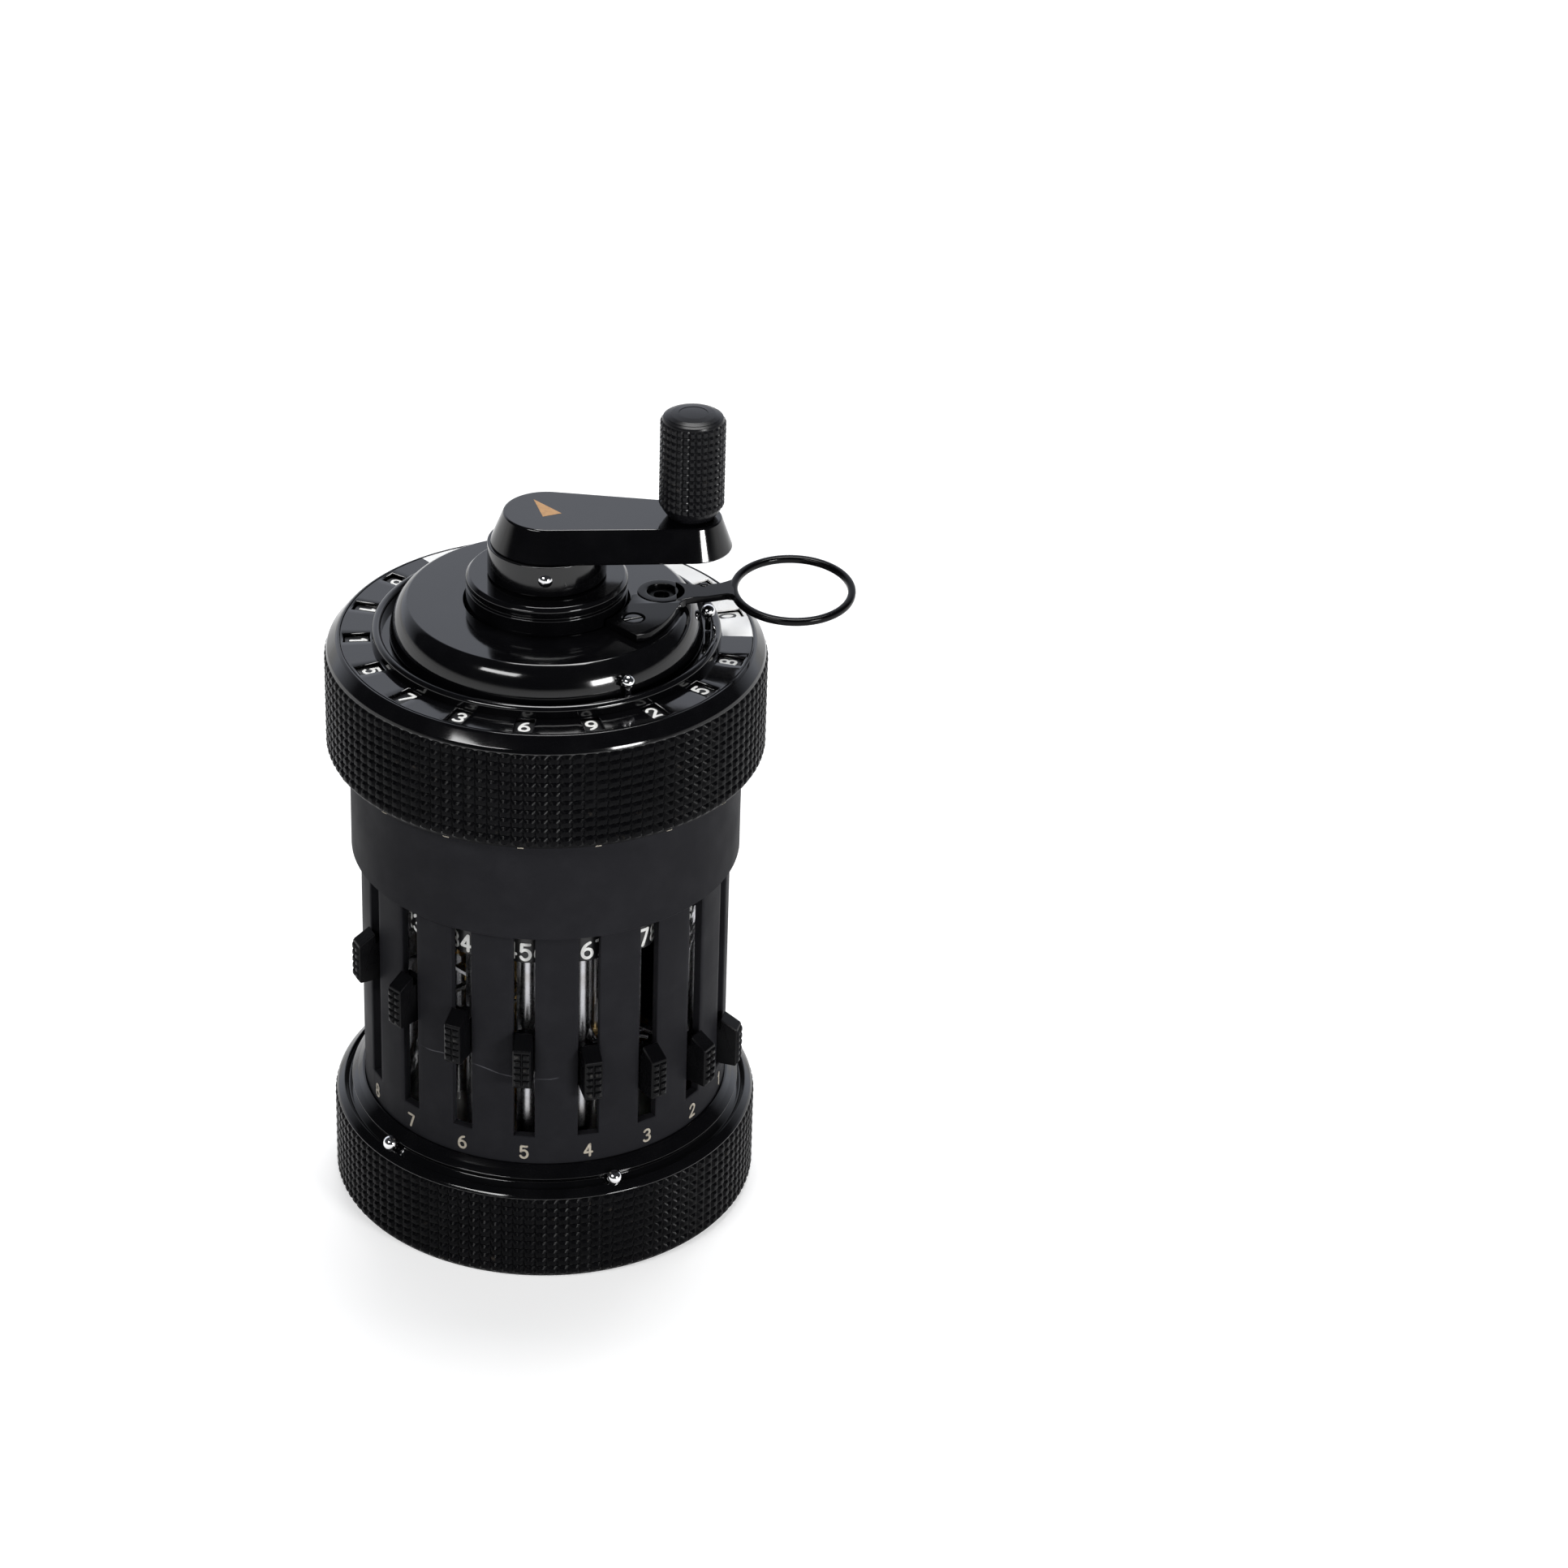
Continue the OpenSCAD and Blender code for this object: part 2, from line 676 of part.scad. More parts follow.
module base_marker(n) {
    color("silver") at_az(base_marker_az[n - 1], shoulder_mid[0]) translate([0, 0, shoulder_mid[1]])
        rotate([shoulder_tilt, 0, 0]) bead(marker_foot_r, marker_foot_h, marker_bead_r);
}

module carriage_marker() {
    foot_z = ring_top + 0.15;
    bead_z = ring_top + 2.6;
    color("silver") at_az(carriage_marker_az, marker_at) {
        rod(0.35, foot_z, bead_z);
        translate([0, 0, bead_z]) sphere(r = carriage_bead_r);
    }
}

// The plate that runs behind a slot, with the knob's profile drawn through the slot
module slide_body(half_h, profile, w) {
    translate([-guide_half_w, -guide_out, -half_h]) cube([2 * guide_half_w, guide_t, 2 * half_h]);
    translate([-w / 2, 0, 0]) rotate([90, 0, 90]) linear_extrude(w) polygon([for (q = profile) [-q[0], q[1]]]);
}

module reversing_slider() {
    out = collar_r + 1.6;
    color("silver") at_az(reverse_az) translate([0, 0, reverse_slot_z + reverse_half_h + reverse_end_gap])
        slide_body(reverse_guide_half_h,
            [[guide_in + 0.2, -reverse_half_h], [out, -reverse_half_h * 0.8], [out, reverse_half_h * 0.8],
             [guide_in + 0.2, reverse_half_h]], slider_w);
}

// A slider's knob, guide and fork, and the grooved gear that its fork carries
module setting_slider(p) {
    out = body_r + slider_out;
    foot = body_r + clear;
    half = slider_face_h / 2;
    gear_low = -groove_h / 2 - gear_h;
    color("#2a2a2c") at_az(place_az(p)) translate([0, 0, slider_z(p)]) {
        slide_body(guide_half_h,
            [[guide_in + 0.2, -half + 0.1], [out - 0.2, -half], [out, -half + 0.2], [out, half],
             [foot, half + roof_rise], [foot, half - 0.1], [guide_in + 0.2, half - 0.1]], slider_w);
        translate([0, 0, -fork_t / 2]) linear_extrude(fork_t) difference() {
            union() {
                translate([-fork_half_w, -transmission_at - fork_slot - fork_base])
                    square([2 * fork_half_w, fork_slot + fork_base + fork_reach]);
                translate([0, -transmission_at - fork_slot - fork_base])
                    square([arm_in + arm_w, fork_base * 0.4]);
                translate([arm_in, -guide_out + guide_t / 2])
                    square([arm_w, guide_out - guide_t / 2 - transmission_at - fork_slot - fork_base * 0.7]);
            }
            translate([-fork_slot, -transmission_at - fork_slot])
                square([2 * fork_slot, fork_slot + fork_reach + cut]);
        }
    }
    color("goldenrod") at_az(place_az(p), transmission_at) translate([0, 0, slider_z(p)]) difference() {
        union() {
            translate([0, 0, gear_low]) linear_extrude(gear_h)
                polygon(gear_points(gear_teeth, slide_gear_r * 0.75, slide_gear_r));
            rod(groove_r, gear_low, groove_h / 2 + gear_lip);
            rod(slide_gear_r, groove_h / 2, groove_h / 2 + gear_lip);
        }
        rod(transmission_r + run_fit, gear_low - cut, groove_h / 2 + gear_lip + cut);
    }
}

module setting_shaft(p) {
    drum_top = slot_top - face_gap;
    color("silver") at_az(place_az(p), setting_at) {
        rod(pivot_r, lower_top - pivot_depth, upper_z + upper_pivot_depth);
        rod(setting_shaft_r, lower_top + face_gap, drum_top);
        rod(digit_drum_r, drum_top - digit_drum_h, drum_top);
    }
}

base_cap();
housing_shell();
label_collar();
lower_frame();
upper_frame();
retaining_nut();
carriage_spring();
transmission_shafts();
ratchet_wheel();
main_shaft();
step_drum();
crank_arm();
hub_pin();
knob_spindle();
crank_knob();
spring_cup();
carriage_ring();
carriage_frame();
window_ring();
clearing_plate();
lever_bracket();
lever_screws();
clearing_lever();
reversing_slider();
carriage_marker();
for (n = [1 : len(base_marker_az)])
    base_marker(n);
for (p = [1 : place_count])
    setting_slider(p);
for (p = [1 : place_count])
    setting_shaft(p);
for (p = [1 : result_count])
    number_dial(place_az(p), "#202022");
for (n = [1 : counter_count])
    number_dial(counter_az(n), "white");
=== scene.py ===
import math

import bmesh
import bpy
import numpy as np
from mathutils import Matrix, Vector
from mathutils.geometry import tessellate_polygon


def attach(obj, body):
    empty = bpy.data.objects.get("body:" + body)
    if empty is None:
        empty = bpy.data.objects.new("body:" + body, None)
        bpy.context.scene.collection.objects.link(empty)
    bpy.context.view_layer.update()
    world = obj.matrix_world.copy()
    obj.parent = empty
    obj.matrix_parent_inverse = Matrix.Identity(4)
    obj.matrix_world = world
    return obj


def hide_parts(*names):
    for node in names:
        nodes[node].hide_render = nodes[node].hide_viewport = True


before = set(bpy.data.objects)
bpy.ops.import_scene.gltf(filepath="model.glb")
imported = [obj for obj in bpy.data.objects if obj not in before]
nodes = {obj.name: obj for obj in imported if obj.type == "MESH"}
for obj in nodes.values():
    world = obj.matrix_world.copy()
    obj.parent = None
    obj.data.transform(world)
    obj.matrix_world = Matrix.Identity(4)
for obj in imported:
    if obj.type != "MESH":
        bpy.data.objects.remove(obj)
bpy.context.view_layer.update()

MM = 0.001
TAU = 2 * math.pi

# Sizes in millimetres, most of them those of the part's source. Profiles are (radius, height) corners.
BASE_R, BASE_KNURL_TOP, BASE_TOP, SEAT_Z = 26.4, 11.5, 14.6, 11.0
BODY_R, SHELL_IN, UPPER_Z = 22.57, 21.5, 57.0
SLOT_W, SLOT_LOW, SLOT_TOP = 2.6, 18.4, 47.3
COLLAR_BORE, COLLAR_R, COLLAR_TOP = 22.59, 23.69, 66.0
CARRIAGE_R, CARRIAGE_Z, KNURL_TOP, SKIRT_BORE = 26.49, 61.2, 73.7, 23.99
FLANGE_Z, RING_UNDER, RING_TOP, RING_IN, RING_SEAT_R, CARRIAGE_BORE = 66.3, 75.4, 75.7, 17.09, 24.64, 24.39
WINDOW_IN, WINDOW_OUT, WINDOW_W = 21.0, 24.2, 2.2
RIDGE_AT, RIDGE_R = 20.24, 0.55
DIAL_R, DIAL_Z, DIAL_IN, DIAL_OUT, FIGURES_AT = 3.62, 71.7, 21.0, 24.05, 22.35
PLATE_R, PLATE_TOP, PLATE_FLAT = 18.69, 80.4, 16.5
LEVER_Z, LEVER_TOP, LEVER_AZ, LEVER_PIVOT = 80.5, 81.4, 87.0, 13.6
RING_AT, RING_R, RING_BAND = 29.2, 7.5, 0.95
BOSS_R, BOSS_Z, BOSS_TOP, NUT_Z, NUT_STUB_R, TUBE_BORE = 9.6, 79.9, 83.9, 78.7, 8.0, 5.52
HUB_R, HUB_Z, ARM_Z, ARM_TOP, SHAFT_BORE = 7.05, 84.1, 88.0, 91.95, 2.52
KNOB_AT, KNOB_AZ, KNOB_R, KNOB_Z, KNOB_GRIP_TOP = 16.9, 83.0, 3.88, 92.15, 104.45
PLACES, RESULTS, COUNTERS, PITCH, DIAL_GAP = 8, 11, 6, 20.0, 30.0
SETTING_AT, DRUM_R, SHAFT_R = 18.3, 2.9, 1.4
TRANSMISSION_AT = 11.5
DIGITS, DIGIT_STEP, DIGIT_TURN, SLIDER_ZERO_Z = 10, 2.0, 36.0, 39.7
REVERSE_AZ, REVERSE_LOW, REVERSE_LEN = 130.0, 49.5, 6.4


def place_az(p):
    return PITCH * (PLACES - 1) / 2 - PITCH * (p - 1)


def slider_z(p):
    """The height of a setting slider, which stands at the figure 10 - p."""
    return SLIDER_ZERO_Z - DIGIT_STEP * (DIGITS - p)


def counter_az(n):
    return PITCH * (PLACES - 1) / 2 + DIAL_GAP + PITCH * (n - 1)


def axes(az):
    """Outward and sideways directions at an azimuth in degrees."""
    a = math.radians(az)
    return np.array([math.sin(a), -math.cos(a), 0.0]), np.array([math.cos(a), math.sin(a), 0.0])


UP = np.array([0.0, 0.0, 1.0])


# Materials.
def material_base(name):
    material = bpy.data.materials.new(name)
    material.use_nodes = True
    tree = material.node_tree
    coords = tree.nodes.new("ShaderNodeTexCoord")
    return material, tree, tree.nodes["Principled BSDF"], coords.outputs["Object"]


def noise(tree, vector, scale, detail=4.0, stretch=None):
    """A noise texture's factor; scale is in features a metre."""
    if stretch:
        mapping = tree.nodes.new("ShaderNodeMapping")
        mapping.inputs["Scale"].default_value = stretch
        tree.links.new(vector, mapping.inputs["Vector"])
        vector = mapping.outputs["Vector"]
    node = tree.nodes.new("ShaderNodeTexNoise")
    node.inputs["Scale"].default_value = scale
    node.inputs["Detail"].default_value = detail
    tree.links.new(vector, node.inputs["Vector"])
    return node.outputs["Fac"]


def remap(tree, value, from_low, from_high, to_low, to_high):
    node = tree.nodes.new("ShaderNodeMapRange")
    for socket, number in zip(("From Min", "From Max", "To Min", "To Max"),
                              (from_low, from_high, to_low, to_high)):
        node.inputs[socket].default_value = number
    tree.links.new(value, node.inputs["Value"])
    return node.outputs["Result"]


def reckon(tree, operation, *values):
    """The value of a math node on one or two sockets."""
    node = tree.nodes.new("ShaderNodeMath")
    node.operation = operation
    for socket, value in zip(node.inputs, values):
        tree.links.new(value, socket)
    return node.outputs["Value"]


def mix_color(tree, factor, a, b):
    """Colours a and b are RGB values or sockets."""
    node = tree.nodes.new("ShaderNodeMix")
    node.data_type = "RGBA"
    tree.links.new(factor, node.inputs["Factor"])
    for name, value in (("A", a), ("B", b)):
        socket = [s for s in node.inputs if s.name == name and s.type == "RGBA"][0]
        if isinstance(value, tuple):
            socket.default_value = (*value, 1.0)
        else:
            tree.links.new(value, socket)
    return [s for s in node.outputs if s.type == "RGBA"][0]


def bump(tree, shader, height, strength, distance):
    node = tree.nodes.new("ShaderNodeBump")
    node.inputs["Strength"].default_value = strength
    node.inputs["Distance"].default_value = distance
    tree.links.new(height, node.inputs["Height"])
    tree.links.new(node.outputs["Normal"], shader.inputs["Normal"])


def scratch_mask(tree, vector):
    """One long, thin, broken scratch across the front left of the body."""
    parts = tree.nodes.new("ShaderNodeSeparateXYZ")
    tree.links.new(vector, parts.inputs["Vector"])
    wavy_height = remap(tree, noise(tree, vector, 90.0, 2.0), 0.3, 0.7, 0.0269, 0.0284)
    away = reckon(tree, "ABSOLUTE", reckon(tree, "SUBTRACT", parts.outputs["Z"], wavy_height))
    mask = remap(tree, away, 0.00003, 0.00011, 1.0, 0.0)
    limits = (remap(tree, parts.outputs["X"], -0.0172, -0.016, 0.0, 1.0),
              remap(tree, parts.outputs["X"], -0.0006, 0.0004, 1.0, 0.0),
              remap(tree, parts.outputs["Y"], -0.002, -0.006, 0.0, 1.0),
              remap(tree, noise(tree, vector, 420.0, 2.0), 0.4, 0.55, 0.1, 0.8))
    for limit in limits:
        mask = reckon(tree, "MULTIPLY", mask, limit)
    return mask


def lacquer(name, color, dust, rough, specular, grain, grain_depth, worn_and_lit_tips=None, worn_and_lit_from=0.7,
            scratched=False):
    """Lacquer or paint: a base colour with faint dust, uneven gloss, fine grain and, where asked, lighter
    tips in spots, partly paint wear and partly a painted highlight.
    """
    material, tree, shader, vector = material_base(name)
    patches = noise(tree, vector, 260.0, 6.0)
    tint = mix_color(tree, remap(tree, patches, 0.45, 0.75, 0.0, 1.0), color, dust)
    if scratched:
        tint = mix_color(tree, scratch_mask(tree, vector), tint, SCRATCH_COLOR)
    # Tips get a lighter colour in spots: partly paint wear, partly a painted highlight of the light the tips
    # catch.
    if worn_and_lit_tips:
        edge = tree.nodes.new("ShaderNodeAttribute")
        edge.attribute_name = "tip_wear_and_highlight"
        spots = remap(tree, noise(tree, vector, 700.0, 5.0), worn_and_lit_from - 0.12, worn_and_lit_from, 0.0, 1.0)
        tint = mix_color(tree, reckon(tree, "MULTIPLY", edge.outputs["Fac"], spots), tint, worn_and_lit_tips)
    tree.links.new(tint, shader.inputs["Base Color"])
    smudge = noise(tree, vector, 150.0, 5.0)
    tree.links.new(remap(tree, smudge, 0.3, 0.7, rough[0], rough[1]), shader.inputs["Roughness"])
    shader.inputs["Specular IOR Level"].default_value = specular
    bump(tree, shader, noise(tree, vector, grain, 3.0), 0.35, grain_depth)
    return material


def metal(name, color, tarnish, rough, grain, stretch):
    """Machined metal with tool lines along one direction and a little tarnish."""
    material, tree, shader, vector = material_base(name)
    patches = noise(tree, vector, 320.0, 5.0)
    tree.links.new(mix_color(tree, remap(tree, patches, 0.5, 0.8, 0.0, 1.0), color, tarnish),
                   shader.inputs["Base Color"])
    lines = noise(tree, vector, grain, 3.0, stretch)
    tree.links.new(remap(tree, lines, 0.3, 0.7, rough[0], rough[1]), shader.inputs["Roughness"])
    shader.inputs["Metallic"].default_value = 1.0
    bump(tree, shader, lines, 0.2, 0.00001)
    return material


def ink(name, color, stain, rough):
    """Paint of figures and marks, a little uneven."""
    material, tree, shader, vector = material_base(name)
    spots = remap(tree, noise(tree, vector, 2200.0, 4.0), 0.5, 0.75, 0.0, 1.0)
    tree.links.new(mix_color(tree, spots, color, stain), shader.inputs["Base Color"])
    gloss = remap(tree, noise(tree, vector, 900.0, 3.0), 0.3, 0.7, rough - 0.08, rough + 0.08)
    tree.links.new(gloss, shader.inputs["Roughness"])
    return material


ROUND_LINES = (1.0, 1.0, 30.0)
SCRATCH_COLOR = (0.09, 0.09, 0.1)
ENAMEL_COLORS = ((0.0016, 0.0016, 0.002), (0.003, 0.003, 0.0035))
SATIN_LOOK = ((0.0138, 0.0138, 0.016), (0.017, 0.017, 0.0195), (0.45, 0.58), 0.03, 5200.0, 0.00002)
ENAMEL = lacquer("black_enamel", *ENAMEL_COLORS, (0.06, 0.12), 0.45, 900.0, 0.000005)
LEVER_ENAMEL = lacquer("lever_enamel", *ENAMEL_COLORS, (0.1, 0.18), 0.13, 900.0, 0.000005)
SATIN = lacquer("satin_black", *SATIN_LOOK)
BODY_SATIN = lacquer("body_satin_black", *SATIN_LOOK, scratched=True)
# Knurl, knob and slider tips are lighter in spots: partly paint wear, partly a painted highlight.
KNURL = lacquer("knurled_black", (0.0024, 0.0024, 0.0029), (0.004, 0.004, 0.0046), (0.2, 0.32), 0.045, 2600.0,
                0.00001, worn_and_lit_tips=(0.06, 0.05, 0.04), worn_and_lit_from=0.8)
KNOB = lacquer("knob_black", (0.005, 0.005, 0.006), (0.008, 0.008, 0.009), (0.2, 0.32), 0.15, 2600.0, 0.00001,
               worn_and_lit_tips=(0.06, 0.055, 0.05), worn_and_lit_from=0.76)
SLIDER = lacquer("slider_black", (0.0028, 0.0028, 0.0033), (0.005, 0.005, 0.0055), (0.24, 0.36), 0.09, 3000.0,
                 0.00001, worn_and_lit_tips=(0.05, 0.048, 0.045), worn_and_lit_from=0.72)
WHITE_ENAMEL = lacquer("white_enamel", (0.82, 0.82, 0.81), (0.72, 0.72, 0.7), (0.18, 0.3), 0.5, 900.0,
                       0.000006)
DIAL_GLOSS = ((0.3, 0.45), 0.4, 3000.0, 0.00001)
DIAL_BLACK = lacquer("dial_black", (0.006, 0.006, 0.007), (0.012, 0.012, 0.012), *DIAL_GLOSS)
DIAL_WHITE = lacquer("dial_white", (0.8, 0.8, 0.78), (0.7, 0.7, 0.68), *DIAL_GLOSS)
STEEL = metal("turned_steel", (0.5, 0.5, 0.52), (0.32, 0.3, 0.28), (0.2, 0.4), 3000.0, ROUND_LINES)
BRIGHT = metal("bright_steel", (0.78, 0.78, 0.79), (0.6, 0.6, 0.6), (0.05, 0.14), 1500.0, (1.0, 1.0, 1.0))
BRASS = metal("machined_brass", (0.70, 0.50, 0.22), (0.42, 0.28, 0.12), (0.2, 0.4), 3000.0, ROUND_LINES)
ALLOY = metal("frame_alloy", (0.6, 0.59, 0.57), (0.42, 0.41, 0.4), (0.28, 0.48), 2500.0, ROUND_LINES)
WHITE_INK = ink("white_figures", (0.80, 0.80, 0.78), (0.62, 0.61, 0.58), 0.5)
BLACK_INK = ink("black_figures", (0.01, 0.01, 0.011), (0.03, 0.03, 0.03), 0.5)
CREAM_INK = ink("cream_figures", (0.42, 0.38, 0.31), (0.22, 0.19, 0.15), 0.6)
TAN_INK = ink("tan_mark", (0.40, 0.21, 0.07), (0.30, 0.15, 0.05), 0.45)


# Meshes. A part is (points in millimetres, faces, one material or one for each face, each point's share of
# lighter tip colour, partly paint wear and partly a painted highlight, or None).
def make_piece(name, parts, body, replaces=(), sharp=38.0):
    """One object from its parts, which rides on a body and stands for the named nodes."""
    points, faces, used, tip_wear_and_highlight, materials = [], [], [], [], []
    count = 0
    for part_points, part_faces, material, part_wear_and_highlight in parts:
        paints = material if isinstance(material, list) else [material] * len(part_faces)
        materials += [paint for paint in dict.fromkeys(paints) if paint not in materials]
        points.append(np.asarray(part_points, float))
        faces += [tuple(int(i) + count for i in face) for face in part_faces]
        used += [materials.index(paint) for paint in paints]
        tip_wear_and_highlight.append(np.zeros(len(part_points)) if part_wear_and_highlight is None else np.asarray(part_wear_and_highlight, float))
        count += len(part_points)
    mesh = bpy.data.meshes.new(name)
    mesh.from_pydata((np.concatenate(points) * MM).tolist(), [], faces)
    for material in materials:
        mesh.materials.append(material)
    mesh.polygons.foreach_set("material_index", used)
    work = bmesh.new()
    work.from_mesh(mesh)
    bmesh.ops.recalc_face_normals(work, faces=work.faces)
    work.to_mesh(mesh)
    work.free()
    # Each point's share of lighter tip colour, partly paint wear and partly a painted highlight, is stored on
    # the mesh.
    worn_and_lit_tips = np.concatenate(tip_wear_and_highlight)
    if worn_and_lit_tips.any():
        mesh.attributes.new("tip_wear_and_highlight", "FLOAT", "POINT").data.foreach_set("value", worn_and_lit_tips.astype(np.float32))
    mesh.shade_smooth()
    mesh.set_sharp_from_angle(angle=math.radians(sharp))
    obj = bpy.data.objects.new(name, mesh)
    bpy.context.scene.collection.objects.link(obj)
    obj.modifiers.new("flat_faces", "WEIGHTED_NORMAL").keep_sharp = True
    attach(obj, body)
    if replaces:
        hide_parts(*replaces)
    return obj


def round_corners(points, radii, steps=4):
    """A polygon with each corner rounded by its own radius."""
    out = []
    count = len(points)
    for i, radius in enumerate(radii):
        p = np.array(points[i], float)
        if radius <= 0:
            out.append(tuple(p))
            continue
        to_last = np.array(points[i - 1], float) - p
        to_next = np.array(points[(i + 1) % count], float) - p
        a, b = to_last / np.linalg.norm(to_last), to_next / np.linalg.norm(to_next)
        half = math.acos(max(-1.0, min(1.0, float(a @ b)))) / 2
        reach = min(radius / math.tan(half), 0.45 * np.linalg.norm(to_last), 0.45 * np.linalg.norm(to_next))
        start, end = p + a * reach, p + b * reach
        for k in range(steps + 1):
            t = k / steps
            out.append(tuple((1 - t) ** 2 * start + 2 * t * (1 - t) * p + t ** 2 * end))
    return out


def lathe(rows, columns, centre=(0.0, 0.0)):
    """A turned solid from a closed loop of (radius or radii, height) rows round a vertical axis."""
    angles = np.arange(columns) * TAU / columns
    points, starts = [], []
    count = 0
    for radius, z in rows:
        if np.isscalar(radius) and radius < 1e-6:
            points.append([[centre[0], centre[1], z]])
            starts.append((count, True))
            count += 1
            continue
        radii = np.broadcast_to(radius, (columns,))
        points.append(np.stack([centre[0] + radii * np.sin(angles), centre[1] - radii * np.cos(angles),
                                np.full(columns, z)], 1))
        starts.append((count, False))
        count += columns
    faces = []
    for i, (a, a_pole) in enumerate(starts):
        b, b_pole = starts[(i + 1) % len(starts)]
        if a_pole and b_pole:
            continue
        for k in range(columns):
            n = (k + 1) % columns
            if a_pole:
                faces.append((a, b + n, b + k))
            elif b_pole:
                faces.append((a + k, a + n, b))
            else:
                faces.append((a + k, a + n, b + n, b + k))
    return np.concatenate([np.asarray(p, float) for p in points]), faces


KNURL_SHAPE = np.array([0.0, 0.82, 1.0, 0.82])


def knurl_rows(radius, low, high, rows, bumps, depth):
    """Rows of a band of small square bumps, with each point's height from 0 in a groove to 1 on a tip."""
    around = np.tile(KNURL_SHAPE, bumps)
    up = np.append(np.tile(KNURL_SHAPE, rows), 0.0)
    heights = [np.minimum(around, h) for h in up]
    levels = np.linspace(low, high, len(up))
    return [(radius - depth * (1 - h), z) for h, z in zip(heights, levels)], heights


def turned_with_knurl(before, band, after, bumps, centre=(0.0, 0.0)):
    """A turned solid whose loop is before, then a knurled band, then after; also each point's share of the
    lighter tip colour, partly paint wear and partly a painted highlight.
    """
    rows, heights = band
    columns = bumps * len(KNURL_SHAPE)
    points, faces = lathe([*before, *rows, *after], columns, centre)
    tip_wear_and_highlight = []
    for radius, _ in before:
        tip_wear_and_highlight.append(np.zeros(1 if radius < 1e-6 else columns))
    # Knurl tips get the lighter colour: partly paint wear, partly a painted highlight.
    tip_wear_and_highlight += [np.clip(h * 2 - 1, 0, 1) for h in heights]
    for radius, _ in after:
        tip_wear_and_highlight.append(np.zeros(1 if radius < 1e-6 else columns))
    return points, faces, np.concatenate(tip_wear_and_highlight)


def holed_band(holes, ends, depth, bevel, place, step=2.5):
    """A closed band round the axis with rectangular holes (azimuth, half width, low, high).
    place(az, aside, row, depth) gives a point; rows run between the two ends."""
    columns = []
    order = sorted(holes)
    for i, (az, half, _, _) in enumerate(order):
        for aside in (-half - bevel, -half, half, half + bevel):
            columns.append((az, aside, i))
        following = order[(i + 1) % len(order)][0] + (360.0 if i == len(order) - 1 else 0.0)
        margin = 5.0
        gaps = max(1, int((following - az - 2 * margin) / step))
        for k in range(gaps + 1):
            columns.append((az + margin + (following - az - 2 * margin) * k / gaps, 0.0, -1))
    cuts = sorted({ends[0], ends[0] + bevel, ends[1] - bevel, ends[1]}
                  | {v for _, _, low, high in holes for v in (low - bevel, low, high, high + bevel)})
    n_col, n_row = len(columns), len(cuts)

    def open_cell(c, r):
        """True if the cell right of column c and above row r is in a hole."""
        az, aside, i = columns[c]
        if i < 0 or aside >= 0 or abs(aside) > order[i][1] + 1e-9:
            return False
        return order[i][2] - 1e-9 <= cuts[r] and cuts[r + 1] <= order[i][3] + 1e-9

    def at_hole(c, r):
        return any(open_cell(cc % n_col, rr) for cc in (c - 1, c) for rr in (r - 1, r) if 0 <= rr < n_row - 1)

    points, faces = [], []
    for side in (0, 1):
        for c, (az, aside, _) in enumerate(columns):
            for r, row in enumerate(cuts):
                edge = at_hole(c, r) or r in (0, n_row - 1)
                d = depth if side else (bevel if edge else 0.0)
                points.append(place(az, aside, row, d))

    def index(side, c, r):
        return (side * n_col + c % n_col) * n_row + r

    for c in range(n_col):
        for r in range(n_row - 1):
            if open_cell(c, r):
                sides = [((c, r), (c + 1, r), r == 0 or not open_cell(c, r - 1)),
                         ((c, r + 1), (c + 1, r + 1), r == n_row - 2 or not open_cell(c, r + 1)),
                         ((c, r), (c, r + 1), True), ((c + 1, r), (c + 1, r + 1), True)]
                for (c0, r0), (c1, r1), wall in sides:
                    if wall:
                        faces.append((index(0, c0, r0), index(0, c1, r1), index(1, c1, r1), index(1, c0, r0)))
                continue
            for side in (0, 1):
                faces.append((index(side, c, r), index(side, c + 1, r), index(side, c + 1, r + 1),
                              index(side, c, r + 1)))
        for r in (0, n_row - 1):
            faces.append((index(0, c, r), index(0, c + 1, r), index(1, c + 1, r), index(1, c, r)))
    return np.array(points), faces


def tube_place(r_out):
    """For holed_band: a band that stands round the axis, with its rows up it."""
    def place(az, aside, row, depth):
        r = r_out - depth
        a = math.radians(az) + math.asin(aside / r)
        return (r * math.sin(a), -r * math.cos(a), row)
    return place


def disc_place(top):
    """For holed_band: a flat band round the axis, with its rows outwards."""
    def place(az, aside, row, depth):
        a = math.radians(az) + math.asin(aside / row)
        return (row * math.sin(a), -row * math.cos(a), top - depth)
    return place


def loft(loops):
    """A closed solid through loops of the same number of points, with flat ends."""
    count = len(loops[0])
    points = np.concatenate([np.asarray(loop, float) for loop in loops])
    faces = [tuple(range(count)), tuple(range((len(loops) - 1) * count, len(loops) * count))]
    for i in range(len(loops) - 1):
        for k in range(count):
            n = (k + 1) % count
            faces.append((i * count + k, i * count + n, (i + 1) * count + n, (i + 1) * count + k))
    return points, faces


def inset(outline, amount):
    """A flat outline, counter-clockwise, moved inwards."""
    p = np.asarray(outline, float)
    ahead, behind = np.roll(p, -1, 0) - p, p - np.roll(p, 1, 0)
    ahead /= np.linalg.norm(ahead, axis=1)[:, None]
    behind /= np.linalg.norm(behind, axis=1)[:, None]
    along = ahead + behind
    along /= np.linalg.norm(along, axis=1)[:, None]
    inward = np.stack([-along[:, 1], along[:, 0]], 1)
    spread = np.maximum(0.4, np.einsum("ij,ij->i", inward, np.stack([-ahead[:, 1], ahead[:, 0]], 1)))
    return p + inward * (amount / spread)[:, None]


